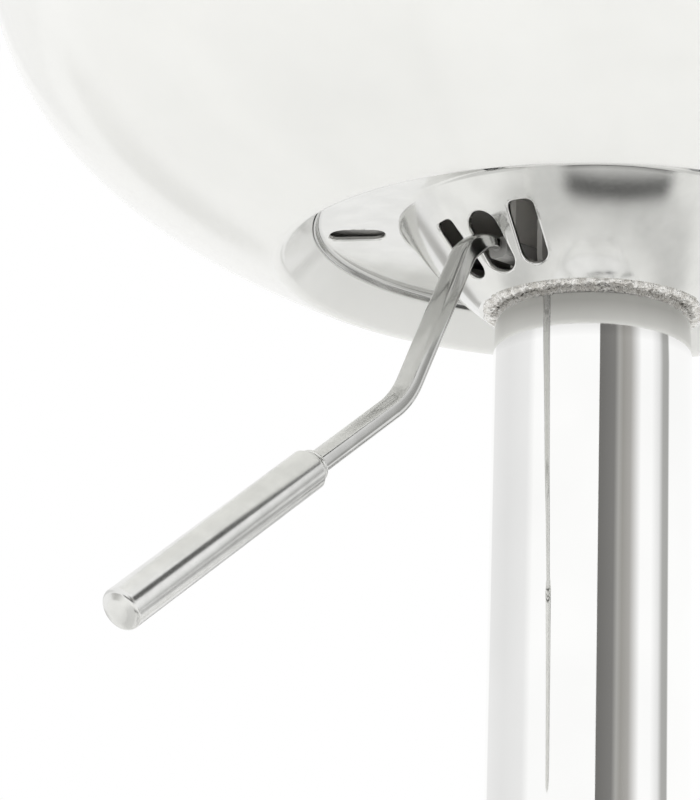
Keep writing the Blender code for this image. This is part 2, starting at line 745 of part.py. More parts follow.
def build_lever(chrome, paint, pivot):
    """Arm on the pin over the valve, bent bar on its tang, and the sleeve grip on the bar's spigot."""
    build_lever_arm(paint, pivot)
    path, slope = lever_path()
    rings = []
    for i, point in enumerate(path):
        ahead = path[min(i + 1, len(path) - 1)]
        behind = path[max(i - 1, 0)]
        along = (ahead - behind).normalized()
        flat = LEVER_FLAT + (1 - LEVER_FLAT) * min(i / 4, 1)
        rings.append(lever_section(point, along, LEVER_WIDTH / 2, LEVER_HEIGHT / 2 * flat, 0.6))
    for reach in (0, COLLAR_LENGTH + GRIP_BORE_DEPTH):
        rings.append(lever_section(path[-1] + slope * reach, slope, SPIGOT_RADIUS, SPIGOT_RADIUS, 1))
    rod = loft("lever_rod", rings, chrome, pivot)
    along_arm = Matrix.Translation((ARM_SHOULDER, 0, 0)) @ Matrix.Rotation(math.pi / 2, 4, "Y")
    socket = cylinder("lever_socket_cut", TANG_RADIUS + GAP, 2 * (TANG_LENGTH + GAP), along_arm)
    socket.parent = pivot
    boolean(rod, socket)
    build_grip(chrome, pivot, slope)


def build_lever_arm(paint, pivot):
    """Straight arm from the valve past the pin, with a tang for the bar."""
    rings = []
    for x in (-LEVER_TIP, ARM_OUT):
        rings.append(
            lever_section(Vector((x, LEVER_RISE)), Vector((1, 0)), LEVER_WIDTH / 2, LEVER_HEIGHT / 2, 0.6)
        )
    arm = loft("lever_arm", rings, paint, pivot)
    along_arm = Matrix.Translation((ARM_SHOULDER, 0, 0)) @ Matrix.Rotation(math.pi / 2, 4, "Y")
    tang = cylinder("lever_tang", TANG_RADIUS, 2 * TANG_LENGTH, along_arm)
    tang.parent = pivot
    boolean(arm, tang, "UNION")
    across = Matrix.Rotation(math.pi / 2, 4, "X")
    hole = cylinder("lever_hole_cut", PIN_RADIUS + RUN, 0.03, across, steps=MEDIUM)
    hole.parent = pivot
    boolean(arm, hole)


def build_grip(chrome, pivot, slope):
    """Sleeve grip with a domed end, and the stepped collar at its mouth."""
    grip_axis = make_empty("grip_axis", parent=pivot)
    grip_axis.location = (LEVER_END_OUT - PIVOT_RADIUS, 0, -LEVER_END_DROP - LEVER_RISE)
    grip_axis.rotation_euler = (0, math.atan2(slope.x, slope.y), 0)
    bore = SPIGOT_RADIUS + GAP
    mouth = -GRIP_LENGTH
    grip = rounded(
        [
            (0, mouth + GRIP_BORE_DEPTH + GAP),
            (bore, mouth + GRIP_BORE_DEPTH + GAP),
            (bore, mouth),
            (GRIP_RADIUS * 0.9, mouth),
            (GRIP_RADIUS, mouth + GRIP_RADIUS * 0.16),
            (GRIP_RADIUS, -GRIP_DOME, GRIP_DOME),
            (GRIP_RADIUS * 0.5, 0),
            (0, GRIP_DOME * 0.2),
        ],
        4,
    )
    lathe("lever_grip", grip, chrome, grip_axis, MEDIUM)
    high = mouth - GAP
    low = high - COLLAR_LENGTH
    collar = [
        (bore, low),
        (GRIP_RADIUS * 0.72, low),
        (GRIP_RADIUS * 0.72, low + COLLAR_LENGTH * 0.4),
        (GRIP_RADIUS * 0.82, low + COLLAR_LENGTH * 0.5),
        (GRIP_RADIUS * 0.82, high),
        (bore, high),
    ]
    lathe("grip_collar", collar, chrome, grip_axis, MEDIUM)


def build_column_tube(chrome, steel, plastic, parent):
    """Column tube under the bell, its lower glide ring and the socket for the gas spring."""
    lathe(
        "outer_tube",
        ring_profile(TUBE_BORE, TUBE_RADIUS, TUBE_BOTTOM, WELD_Z + TUBE_RISE),
        chrome,
        parent,
        ROUND,
    )
    low = TUBE_BOTTOM - GAP
    glide = [
        (PILLAR_RADIUS + RUN, low - GLIDE_LIP),
        (TUBE_RADIUS - 0.001, low - GLIDE_LIP),
        (TUBE_RADIUS, low - GLIDE_LIP + 0.001),
        (TUBE_RADIUS, low),
        (TUBE_BORE - GAP, low),
        (TUBE_BORE - GAP, low + GLIDE_LENGTH),
        (PILLAR_RADIUS + RUN, low + GLIDE_LENGTH),
    ]
    lathe("tube_glide_ring", glide, plastic, parent, ROUND)
    bottom = CYLINDER_TOP - TAPER_LENGTH - CYLINDER_RISE + TUBE_RISE
    socket = [
        (taper_radius(bottom) + GAP, bottom),
        (TUBE_BORE - GAP, bottom),
        (TUBE_BORE - GAP, WELD_Z + TUBE_RISE - 0.001),
        (taper_radius(WELD_Z + TUBE_RISE - 0.001) + GAP, WELD_Z + TUBE_RISE - 0.001),
    ]
    lathe("taper_socket", socket, steel, parent, ROUND)


def taper_radius(z):
    """Outside radius of the gas cylinder at a height."""
    share = (z - (CYLINDER_TOP - TAPER_LENGTH)) / TAPER_LENGTH
    return CYLINDER_RADIUS - TAPER_DRAW * min(max(share, 0.0), 1.0)


def build_gas_spring(chrome, steel, rubber, plastic, brass, carriage, swivel, valve):
    """Pressure cylinder pressed into the seat, rod standing on the pillar's foot."""
    taper_z = CYLINDER_TOP - TAPER_LENGTH
    body = [
        (CYLINDER_BORE - 0.003, CYLINDER_Z),
        (CYLINDER_RADIUS - 0.001, CYLINDER_Z),
        (CYLINDER_RADIUS, CYLINDER_Z + 0.001),
        (CYLINDER_RADIUS, taper_z),
        (taper_radius(CYLINDER_TOP), CYLINDER_TOP),
        (VALVE_RADIUS + RUN, CYLINDER_TOP),
        (VALVE_RADIUS + RUN, CYLINDER_TOP - CYLINDER_CAP),
        (CYLINDER_BORE, CYLINDER_TOP - CYLINDER_CAP),
        (CYLINDER_BORE, CYLINDER_Z + CYLINDER_WALL),
        (CYLINDER_BORE - 0.003, CYLINDER_Z + CYLINDER_WALL),
    ]
    lathe("gas_cylinder", body, steel, carriage, MEDIUM)
    lathe(
        "cylinder_gland",
        ring_profile(ROD_RADIUS + RUN, CYLINDER_BORE - GAP, GLAND_Z, GLAND_Z + GLAND_LENGTH),
        rubber,
        carriage,
        MEDIUM,
    )
    button_z = CYLINDER_TOP - CYLINDER_CAP - GAP
    button = [
        (0, button_z - 0.005),
        (VALVE_COLLAR, button_z - 0.005),
        (VALVE_COLLAR, button_z),
        (VALVE_RADIUS, button_z),
        (VALVE_RADIUS, VALVE_TOP - 0.0022),
        (VALVE_RADIUS * 0.6, VALVE_TOP - 0.0006),
        (0, VALVE_TOP),
    ]
    lathe("valve_button", button, brass, valve, SMALL)
    clip_top = FOOT_Z - GAP
    clip_low = clip_top - CLIP_THICKNESS
    groove = ROD_END_RADIUS * 0.75
    rod = [
        (0, clip_low - 0.003),
        (ROD_END_RADIUS, clip_low - 0.002),
        (ROD_END_RADIUS, clip_low - GAP),
        (groove, clip_low - GAP),
        (groove, clip_top + GAP),
        (ROD_END_RADIUS, clip_top + GAP),
        (ROD_END_RADIUS, ROD_SHOULDER_Z),
        (ROD_RADIUS, ROD_SHOULDER_Z),
        (ROD_RADIUS, PISTON_Z),
        (groove, PISTON_Z),
        (groove, PISTON_Z + PISTON_LENGTH + 0.003),
        (0, PISTON_Z + PISTON_LENGTH + 0.003),
    ]
    lathe("piston_rod", rod, chrome, swivel, SMALL)
    piston = ring_profile(
        groove + GAP, CYLINDER_BORE - RUN, PISTON_Z + GAP, PISTON_Z + PISTON_LENGTH
    )
    lathe("piston_head", piston, plastic, swivel, MEDIUM)
    clip = ring_profile(groove + GAP, groove + GAP + CLIP_WIDTH, clip_low, clip_top)
    rod_clip = lathe("rod_clip", clip, steel, swivel, SMALL)
    mouth = box("rod_clip_mouth_cut", (0.02, ROD_END_RADIUS * 1.3, 0.006), spot(0.0115, 0, clip_low))
    boolean(rod_clip, mouth)
    buffer_low = ROD_SHOULDER_Z
    lathe(
        "rod_buffer",
        ring_profile(ROD_RADIUS + RUN, BUFFER_RADIUS, buffer_low, buffer_low + BUFFER_LENGTH),
        rubber,
        swivel,
        MEDIUM,
    )


def build_bearing(steel, brass, base, swivel, cage_frame):
    """Thrust bearing under the rod: two races, with the balls held in a cage between them."""
    bore = ROD_END_RADIUS + RUN
    lower = ring_profile(bore, RACE_RADIUS, LOWER_RACE_Z, LOWER_RACE_Z + RACE_THICKNESS)
    lathe("bearing_lower_race", lower, steel, base, MEDIUM)
    upper = ring_profile(bore, RACE_RADIUS, UPPER_RACE_Z, UPPER_RACE_Z + RACE_THICKNESS)
    lathe("bearing_upper_race", upper, steel, swivel, MEDIUM)
    pitch = (bore + RACE_RADIUS) / 2
    half = CAGE_THICKNESS / 2
    cage = lathe(
        "bearing_cage",
        ring_profile(bore + 0.0015, RACE_RADIUS - 0.0008, BALL_Z - half, BALL_Z + half),
        brass,
        cage_frame,
        MEDIUM,
    )
    for i in range(BALL_COUNT):
        angle = math.tau * i / BALL_COUNT
        bm = bmesh.new()
        place = Matrix.Translation((pitch * math.cos(angle), pitch * math.sin(angle), BALL_Z))
        bmesh.ops.create_uvsphere(bm, u_segments=6, v_segments=4, radius=BALL_RADIUS, matrix=place)
        boolean(cage, make_object(f"bearing_ball_{i + 1}", bm), "UNION")


def build_pillar(chrome, plastic, steel, parent):
    """Fixed lower column with its foot, the guide of the cylinder and the outer glide ring."""
    lathe(
        "pillar_tube",
        ring_profile(PILLAR_BORE, PILLAR_RADIUS, FOOT_TOP + GAP, PILLAR_TOP),
        chrome,
        parent,
        ROUND,
    )
    foot = lathe(
        "pillar_foot",
        ring_profile(ROD_END_RADIUS + RUN, FOOT_RADIUS, FOOT_Z, FOOT_TOP),
        steel,
        parent,
        ROUND,
    )
    for i, (x, y) in enumerate(foot_bolt_spots()):
        hole = cylinder(f"foot_hole_cut_{i + 1}", FOOT_BOLT_RADIUS + GAP, 0.03, spot(x, y, FOOT_Z))
        boolean(foot, hole)
    top = PILLAR_TOP + GAP
    bush = [
        (CYLINDER_RADIUS + RUN, top - BUSH_LENGTH),
        (PILLAR_BORE - GAP, top - BUSH_LENGTH),
        (PILLAR_BORE - GAP, top),
        (PILLAR_RADIUS, top),
        (PILLAR_RADIUS - 0.001, top + BUSH_LIP),
        (CYLINDER_RADIUS + RUN, top + BUSH_LIP),
    ]
    lathe("guide_bush", bush, plastic, parent, ROUND)
    high = PILLAR_TOP - 0.004
    lathe(
        "pillar_glide_ring",
        ring_profile(PILLAR_RADIUS + GAP, TUBE_BORE - RUN, high - GLIDE_LENGTH, high),
        plastic,
        parent,
        ROUND,
    )


def foot_bolt_spots():
    pitch = (PILLAR_RADIUS + FOOT_RADIUS) / 2
    spots = []
    for i in range(FOOT_BOLT_COUNT):
        angle = math.tau * i / FOOT_BOLT_COUNT + math.pi / 2
        spots.append((pitch * math.cos(angle), pitch * math.sin(angle)))
    return spots


def build_base(chrome, iron, rubber, steel, parent):
    """Trumpet of spun sheet over a ballast disc, standing on a rubber ring."""
    shoulder = BALLAST_TOP + GAP + BASE_SHEET
    skirt = rounded(
        [
            (BASE_RADIUS, RING_TOP + GAP),
            (BASE_RADIUS, shoulder, BASE_EDGE_ROUND),
            (BASE_RADIUS - 0.012, shoulder + 0.0002),
        ],
        3,
    )
    throat = PILLAR_RADIUS + GAP + BASE_SHEET
    flare = bezier(
        (BASE_RADIUS - 0.012, shoulder + 0.0002),
        (BASE_RADIUS * 0.53, shoulder + 0.006),
        (throat + 0.011, shoulder + 0.014),
        (throat, BASE_HEIGHT),
        8,
    )
    section = sheet_section(skirt[:-1] + flare, BASE_SHEET)
    lathe("base_trumpet", section, chrome, parent, FINE)
    ballast = lathe(
        "base_ballast",
        ring_profile(BALLAST_HOLE, BASE_RADIUS - FLOOR_RING_WIDTH / 2, BALLAST_Z, BALLAST_TOP),
        iron,
        parent,
        FINE,
    )
    head_deep = FOOT_BOLT_HEAD_HEIGHT + 2 * GAP
    for i, (x, y) in enumerate(foot_bolt_spots()):
        well = FOOT_BOLT_HEAD + HEAD_CLEARANCE
        hole = FOOT_BOLT_RADIUS + GAP
        stepped = lathe(
            f"ballast_hole_cut_{i + 1}",
            [
                (0, BALLAST_Z - BALLAST_THICKNESS),
                (well, BALLAST_Z - BALLAST_THICKNESS),
                (well, BALLAST_Z + head_deep),
                (hole, BALLAST_Z + head_deep),
                (hole, BALLAST_TOP + BALLAST_THICKNESS),
                (0, BALLAST_TOP + BALLAST_THICKNESS),
            ],
            steps=SMALL,
        )
        stepped.location = (x, y, 0)
        boolean(ballast, stepped)
        head_top = BALLAST_Z + head_deep - GAP
        head_low = head_top - FOOT_BOLT_HEAD_HEIGHT
        socket = FOOT_BOLT_RADIUS * 0.8
        bolt = lathe(
            f"foot_bolt_{i + 1}",
            [
                (0, head_low + 0.0025),
                (socket, head_low + 0.0025),
                (socket, head_low),
                (FOOT_BOLT_HEAD, head_low),
                (FOOT_BOLT_HEAD, head_top),
                (FOOT_BOLT_RADIUS, head_top),
                (FOOT_BOLT_RADIUS, FOOT_TOP),
                (0, FOOT_TOP),
            ],
            steel,
            parent,
            SMALL,
        )
        bolt.location = (x, y, 0)
    lathe(
        "floor_ring",
        ring_profile(BASE_RADIUS - FLOOR_RING_WIDTH, BASE_RADIUS, 0, FLOOR_RING_HEIGHT),
        rubber,
        parent,
        FINE,
    )
    low = BASE_HEIGHT + GAP
    neck = [
        (PILLAR_RADIUS + GAP, low),
        (PILLAR_RADIUS + NECK_WALL, low),
        (PILLAR_RADIUS + NECK_WALL, low + NECK_HEIGHT * 0.5),
        (PILLAR_RADIUS + NECK_WALL * 0.6, low + NECK_HEIGHT * 0.9),
        (PILLAR_RADIUS + NECK_WALL * 0.3, low + NECK_HEIGHT),
        (PILLAR_RADIUS + GAP, low + NECK_HEIGHT),
    ]
    lathe("neck_collar", neck, chrome, parent, ROUND)


def bar_rings(path, radius):
    """Rings of a round bar that lies level along a path, its ends square to the X axis."""
    rings = []
    for i, point in enumerate(path):
        ahead = path[min(i + 1, len(path) - 1)]
        behind = path[max(i - 1, 0)]
        along = (ahead - behind).normalized()
        if i in (0, len(path) - 1):
            along = Vector((1, 0)) * math.copysign(1, along.x)
        side = Vector((-along.y, along.x))
        ring = []
        for k in range(SMALL):
            angle = math.tau * k / SMALL
            flat = point + side * radius * math.cos(angle)
            ring.append((flat.x, flat.y, FOOTREST_Z + radius * math.sin(angle)))
        rings.append(ring)
    return rings


def build_footrest(chrome, steel, parent):
    """Foot bar bent to a loop in front of the column, held by a collar with two set screws."""
    inner = TUBE_RADIUS + GAP
    outer = inner + COLLAR_WALL
    low = FOOTREST_Z - COLLAR_HEIGHT / 2
    collar = lathe(
        "footrest_collar",
        ring_profile(inner, outer, low, low + COLLAR_HEIGHT),
        chrome,
        parent,
        ROUND,
    )
    half = FOOTREST_WIDTH / 2 - FOOTREST_BAR
    front = FOOTREST_REACH - FOOTREST_BAR
    root = outer + GAP
    corners = [(root - 0.004, -0.004), (half * 0.62, -0.006, 0.02), (half, -front * 0.42, 0.045)]
    corners += [(half * 0.86, -front, 0.050)]
    mirrored = [(-c[0], *c[1:]) for c in corners[::-1]]
    path = rounded(corners + mirrored, 4)
    outside = bar_rings(path, FOOTREST_BAR)
    inside = bar_rings(path, FOOTREST_BAR - FOOTREST_WALL)
    loop = loft("footrest_loop", outside + inside[::-1], chrome, parent, around=True)
    clear = cylinder("loop_root_cut", outer + GAP, 0.08, spot(0, 0, FOOTREST_Z), steps=ROUND)
    boolean(loop, clear)
    for i, angle in enumerate((60, 120)):
        turn = math.radians(angle)
        place = Matrix.Rotation(turn, 4, "Z") @ Matrix.Translation((outer, 0, FOOTREST_Z))
        place = place @ Matrix.Rotation(math.pi / 2, 4, "Y")
        hole = cylinder(f"set_screw_cut_{i + 1}", SET_SCREW_RADIUS + GAP, 0.03, place)
        boolean(collar, hole)
        mount = make_empty(f"set_screw_axis_{i + 1}", (0, 0, 0), 0.0, parent)
        mount.matrix_local = place
        socket = SET_SCREW_RADIUS * 0.5
        screw = [
            (0, -COLLAR_WALL + GAP),
            (SET_SCREW_RADIUS, -COLLAR_WALL + GAP),
            (SET_SCREW_RADIUS, -0.0002),
            (socket, -0.0002),
            (socket, -0.0022),
            (0, -0.0022),
        ]
        lathe(f"footrest_screw_{i + 1}", screw, steel, mount, SMALL)


def main():
    clear_scene()
    chrome = make_material("chrome", (0.80, 0.80, 0.80), 0.06, 1.0)
    steel = make_material("zinc_steel", (0.55, 0.55, 0.54), 0.35, 1.0)
    iron = make_material("cast_iron", (0.10, 0.10, 0.10), 0.70, 0.6)
    paint = make_material("black_paint", (0.05, 0.05, 0.05), 0.45, 0.0)
    brass = make_material("brass", (0.70, 0.52, 0.25), 0.30, 1.0)
    plastic = make_material("white_plastic", (0.88, 0.88, 0.86), 0.18, 0.0)
    bushing = make_material("black_plastic", (0.04, 0.04, 0.04), 0.50, 0.0)
    rubber = make_material("rubber", (0.03, 0.03, 0.03), 0.85, 0.0)

    base = make_empty("base_frame")
    swivel = make_empty("swivel_axis", parent=base)
    cage = make_empty("cage_axis", parent=base)
    carriage = make_empty("seat_slide", parent=swivel)
    pin = Vector((PIVOT_RADIUS * math.cos(LEVER_TURN), PIVOT_RADIUS * math.sin(LEVER_TURN), PIVOT_Z))
    pivot = make_empty("lever_pivot", pin, LEVER_TURN, carriage)
    valve = make_empty("valve_slide", parent=carriage)

    build_base(chrome, iron, rubber, steel, base)
    build_pillar(chrome, bushing, steel, base)
    build_bearing(steel, brass, base, swivel, cage)
    build_gas_spring(chrome, steel, rubber, bushing, brass, carriage, swivel, valve)
    build_column_tube(chrome, steel, bushing, carriage)
    build_bell(chrome, carriage)
    build_weld(steel, carriage)
    build_seat_plate(paint, steel, carriage)
    build_seat(plastic, brass, steel, carriage)
    build_lever(chrome, paint, pivot)
    build_footrest(chrome, steel, carriage)


main()
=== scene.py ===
"""Looks of a gas-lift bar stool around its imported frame: fine surfaces, finishes, floor, light and camera."""

import json
import logging
import math
from dataclasses import dataclass, replace
from enum import Enum
from functools import partial
from typing import Any, Callable, Sequence

import bpy
from mathutils import Matrix, Vector, noise


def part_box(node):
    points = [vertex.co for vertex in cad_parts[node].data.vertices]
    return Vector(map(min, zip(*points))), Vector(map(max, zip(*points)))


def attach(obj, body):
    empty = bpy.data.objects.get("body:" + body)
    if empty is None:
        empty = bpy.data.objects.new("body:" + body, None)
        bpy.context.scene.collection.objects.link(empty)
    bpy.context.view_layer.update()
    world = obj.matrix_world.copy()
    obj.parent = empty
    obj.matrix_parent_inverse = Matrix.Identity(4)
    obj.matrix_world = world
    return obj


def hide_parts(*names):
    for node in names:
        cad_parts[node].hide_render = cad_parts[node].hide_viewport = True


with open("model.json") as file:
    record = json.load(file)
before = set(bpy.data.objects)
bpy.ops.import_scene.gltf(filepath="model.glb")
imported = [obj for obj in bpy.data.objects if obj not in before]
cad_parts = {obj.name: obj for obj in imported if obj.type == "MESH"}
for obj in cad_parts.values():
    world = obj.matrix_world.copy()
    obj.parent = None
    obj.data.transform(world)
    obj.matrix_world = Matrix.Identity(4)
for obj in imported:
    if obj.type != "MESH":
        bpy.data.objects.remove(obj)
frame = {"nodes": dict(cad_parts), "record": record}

log = logging.getLogger("bar_stool")
WELD_Z = 0.545  # weld between column tube and bell, with the seat at its lowest
GAP = 0.0003  # between pieces that touch
MERGE = 0.000005  # points closer than this are one
SLIVER = 0.000001  # steps of a curve shorter than this are left out
SPECK = 0.001  # size of a plane that is merged to its middle point
SMOOTH_ANGLE = math.radians(34.0)  # edges sharper than this stay crisp
LEVER_TURN = math.radians(228.7)  # round the column from +X
QUARTER_TURN = math.pi / 2
PATCH_SPAN = (0.35, 0.65)  # values of the patch noise between which the colours change
MARK_SPAN = (0.3, 0.7)  # values of the mark noise between which the roughness changes

Ring = list[Vector]


class Body(Enum):
    """Bodies of the frame that the new pieces ride on."""

    BASE = "base"
    CARRIAGE = "carriage"
    LEVER = "lever"


class Slot(Enum):
    """Material slots of the record."""

    CHROME = "chrome"
    ZINC_STEEL = "zinc_steel"
    CAST_IRON = "cast_iron"
    BLACK_PAINT = "black_paint"
    BRASS = "brass"
    WHITE_PLASTIC = "white_plastic"
    BLACK_PLASTIC = "black_plastic"
    RUBBER = "rubber"


class Lay(Enum):
    """Ways that the fine marks of a finish run, as stretches of the pattern along X, Y and Z."""

    EVEN = (1.0, 1.0, 1.0)
    UPRIGHT = (1.0, 1.0, 0.02)
    ROUND = (0.02, 0.02, 1.0)


class Along(Enum):
    """Ways that a zone of a finish is measured, as shares of X, Y and Z."""

    RADIUS = (1.0, 1.0, 0.0)
    HEIGHT = (0.0, 0.0, 1.0)


def linear(code: str) -> tuple[float, float, float, float]:
    """Turns an sRGB hex colour into a linear one.

    Args:
        code: Six hex digits after a hash.

    Returns:
        Red, green, blue and an alpha of 1.
    """
    shares = [int(code[i : i + 2], 16) / 255 for i in (1, 3, 5)]
    light = [c / 12.92 if c <= 0.04045 else ((c + 0.055) / 1.055) ** 2.4 for c in shares]
    return (light[0], light[1], light[2], 1.0)


def per_metre(millimetres: float) -> float:
    """Pattern scale that gives features of a real size."""
    return 1000.0 / millimetres


def fresh_tree(owner: bpy.types.Material | bpy.types.World) -> bpy.types.NodeTree:
    """Switches a material or world to nodes and empties its tree."""
    owner.use_nodes = True
    owner.node_tree.nodes.clear()
    return owner.node_tree


def add_node(
    tree: bpy.types.NodeTree, kind: str, inputs: dict[Any, Any] | None = None, **settings: Any
) -> bpy.types.Node:
    """Adds a node with its settings, and sets or links its inputs.

    Args:
        tree: Node tree that gets the node.
        kind: Type name of the node.
        inputs: Values or output sockets by input name or number.
        **settings: Attributes of the node.

    Returns:
        The new node.
    """
    node = tree.nodes.new(kind)
    for name, value in settings.items():
        setattr(node, name, value)
    for name, value in (inputs or {}).items():
        if isinstance(value, bpy.types.NodeSocket):
            tree.links.new(value, node.inputs[name])
        else:
            node.inputs[name].default_value = value
    return node


@dataclass(frozen=True)
class Zone:
    """Part of a piece where its finish has another colour, which fades from one measure to another; each zone
    here is painted light or shade.
    """

    colour: str
    along: Along
    full_mm: float
    none_mm: float


@dataclass(frozen=True)
class Finish:
    """A surface finish: two shades in soft patches, a roughness that varies, and fine marks in relief."""

    name: str
    colour: str
    shade: str
    metallic: float = 0.0
    roughness: tuple[float, float] = (0.3, 0.4)
    patch_mm: float = 20.0
    mark_mm: float = 1.0
    mark_height_mm: float = 0.002
    lay: Lay = Lay.EVEN
    wave_mm: float = 0.0
    wave_height_mm: float = 0.0
    zone: Zone | None = None

    def material(self) -> bpy.types.Material:
        """Makes the material at its first use.

        Returns:
            The material, which all pieces of this finish share.
        """
        known = bpy.data.materials.get(self.name)
        if known:
            return known
        made = bpy.data.materials.new(self.name)
        add = partial(add_node, fresh_tree(made))
        spots = add("ShaderNodeTexCoord").outputs["Object"]
        run = add("ShaderNodeMapping", {"Vector": spots, "Scale": self.lay.value}).outputs["Vector"]
        marks = add(
            "ShaderNodeTexNoise", {"Vector": run, "Scale": per_metre(self.mark_mm), "Detail": 4.0}
        ).outputs["Fac"]
        rough = add("ShaderNodeMapRange", {
            "Value": marks, "From Min": MARK_SPAN[0], "From Max": MARK_SPAN[1],
            "To Min": self.roughness[0], "To Max": self.roughness[1],
        }).outputs["Result"]
        shader = add("ShaderNodeBsdfPrincipled", {
            "Base Color": self.tint(add, spots), "Metallic": self.metallic, "Roughness": rough,
            "Normal": self.relief(add, spots, marks),
        })
        add("ShaderNodeOutputMaterial", {"Surface": shader.outputs["BSDF"]})
        return made

    def tint(self, add: Callable[..., bpy.types.Node], spots: bpy.types.NodeSocket) -> bpy.types.NodeSocket:
        """Colour of the finish: its two shades in patches, and its zone of painted light or shade.

        Args:
            add: Adds a node to the material.
            spots: Object coordinates.

        Returns:
            Socket with the colour.
        """
        patch = add("ShaderNodeTexNoise", {"Vector": spots, "Scale": per_metre(self.patch_mm), "Detail": 3.0})
        share = add("ShaderNodeMapRange", {
            "Value": patch.outputs["Fac"], "From Min": PATCH_SPAN[0], "From Max": PATCH_SPAN[1]})
        colour = add("ShaderNodeMixRGB", {
            "Fac": share.outputs["Result"], "Color1": linear(self.colour), "Color2": linear(self.shade)})
        if self.zone:
            part = add("ShaderNodeVectorMath", {0: spots, 1: self.zone.along.value}, operation="MULTIPLY")
            far = add("ShaderNodeVectorMath", {0: part.outputs["Vector"]}, operation="LENGTH")
            fade = add("ShaderNodeMapRange", {
                "Value": far.outputs["Value"], "From Min": self.zone.full_mm / 1000,
                "From Max": self.zone.none_mm / 1000})
            colour = add("ShaderNodeMixRGB", {
                "Fac": fade.outputs["Result"], "Color1": linear(self.zone.colour),
                "Color2": colour.outputs["Color"]})
        return colour.outputs["Color"]

    def relief(
        self, add: Callable[..., bpy.types.Node], spots: bpy.types.NodeSocket, marks: bpy.types.NodeSocket
    ) -> bpy.types.NodeSocket:
        """Relief of the finish: its fine marks, and its long waves.

        Args:
            add: Adds a node to the material.
            spots: Object coordinates.
            marks: Height of the marks.

        Returns:
            Socket with the normal.
        """
        fine = {"Height": marks, "Strength": 1.0, "Distance": self.mark_height_mm / 1000}
        normal = add("ShaderNodeBump", fine).outputs["Normal"]
        if self.wave_mm:
            wave = add(
                "ShaderNodeTexNoise", {"Vector": spots, "Scale": per_metre(self.wave_mm), "Detail": 1.0})
            normal = add("ShaderNodeBump", {
                "Height": wave.outputs["Fac"], "Strength": 1.0, "Distance": self.wave_height_mm / 1000,
                "Normal": normal}).outputs["Normal"]
        return normal


# Chrome plate on a drawn and polished tube: a mirror with faint lines along the drawing.
TUBE_CHROME = Finish(
    "polished_chrome_on_drawn_tube", "#FDFDFC", "#F8F8F7", 1.0, (0.02, 0.05), 60.0, 0.9, 0.0002,
    Lay.UPRIGHT, 26.0, 0.004)
# The same plate on the welded tube, with grey painted in towards the weld: a painted reflection of the shaded
# seat recess above it.
COLUMN_CHROME = replace(
    TUBE_CHROME, name="polished_chrome_on_welded_tube", zone=Zone("#BAB9B7", Along.HEIGHT, 542.0, 531.0))
# Chrome plate on deep-drawn sheet: a satin mirror, because the stretched skin is left unpolished,
# with grey painted on its rim as a painted reflection.
BELL_CHROME = Finish(
    "chrome_on_deep_drawn_sheet", "#E8E8E6", "#DFDFDD", 1.0, (0.115, 0.135), 9.0, 0.6, 0.0003,
    Lay.EVEN, 9.0, 0.006, Zone("#C2C2C0", Along.RADIUS, 84.7, 83.0))
# Chrome plate on a cold-drawn bent bar: bright, slightly rippled by the bending, with painted shade that greys
# it towards its pressed end under the bell.
BAR_CHROME = Finish(
    "chrome_on_bent_bar", "#E0E0DE", "#D6D6D4", 1.0, (0.11, 0.12), 7.0, 0.9, 0.00005,
    Lay.EVEN, 8.0, 0.003, Zone("#BEBEBC", Along.RADIUS, 58.0, 88.0))
# Chrome plate on a brushed sleeve: soft bright bands along it, because brushing blurs what it mirrors.
SLEEVE_CHROME = Finish(
    "chrome_on_brushed_sleeve", "#ECECEA", "#E2E2E0", 1.0, (0.18, 0.22), 7.0, 0.5, 0.0004,
    Lay.EVEN, 8.0, 0.002)
# The pressed sheet inside the bell, which the plating bath hardly reaches: dry steel, painted pale as painted
# light for the dark inside.
BARE_STEEL_PAINTED_LIGHT = Finish("bare_pressed_steel_painted_light", "#ECEAE6", "#DEDCD8", 0.0, (0.40, 0.55), 9.0, 0.8, 0.003)
# Steel painted black, given a mid grey instead as painted light, since it lies in the bell's dark inside; a
# little uneven.
GREY_PAINTED_LIGHT = Finish("black_paint_painted_light_grey", "#A5A4A2", "#969593", 0.0, (0.42, 0.55), 10.0, 1.0, 0.006)
# The same painted-light grey on the plate, with a pale middle that is painted light where the slots look into
# the bell.
PLATE_PAINTED_LIGHT = replace(
    GREY_PAINTED_LIGHT, name="plate_grey_with_painted_light_middle", colour="#A6A5A3", shade="#989795",
    zone=Zone("#F0EEEA", Along.RADIUS, 57.0, 59.0))
# Bright zinc plate: a grey, slightly cloudy metal.
ZINC_STEEL = Finish("bright_zinc_plated_steel", "#BDBEBF", "#A3A4A6", 1.0, (0.22, 0.38), 5.0, 0.5, 0.002)
# Weld metal left as it solidified: bright rough silver with duller flecks.
WELD_METAL = Finish("raw_weld_metal", "#FAF9F7", "#D6D3CE", 1.0, (0.14, 0.32), 2.4, 1.1, 0.03)
# Grey iron as cast: dark, dry and grainy from the sand.
CAST_IRON = Finish("sand_cast_iron", "#3B3A39", "#2C2B2A", 0.3, (0.6, 0.8), 12.0, 0.9, 0.05)
# Brass turned on a lathe: warm metal with fine rings from the tool.
TURNED_BRASS = Finish("turned_brass", "#C9A45C", "#B58F49", 1.0, (0.22, 0.34), 4.0, 0.35, 0.003, Lay.ROUND)
# Glossy moulded ABS: white, almost even, with a very slight ripple from the mould.
WHITE_ABS = Finish(
    "glossy_moulded_white_abs", "#F6F6F4", "#F2F2F0", 0.0, (0.10, 0.16), 45.0, 2.5, 0.0015,
    Lay.EVEN, 38.0, 0.012)
# Moulded acetal: black, slippery and half matt.
BLACK_ACETAL = Finish("moulded_black_acetal", "#1D1D1E", "#161617", 0.0, (0.38, 0.5), 6.0, 0.8, 0.004)
# Moulded rubber: black, matt, dusty grey in places.
BLACK_RUBBER = Finish("moulded_black_rubber", "#1B1B1B", "#242423", 0.0, (0.62, 0.8), 8.0, 0.6, 0.012)

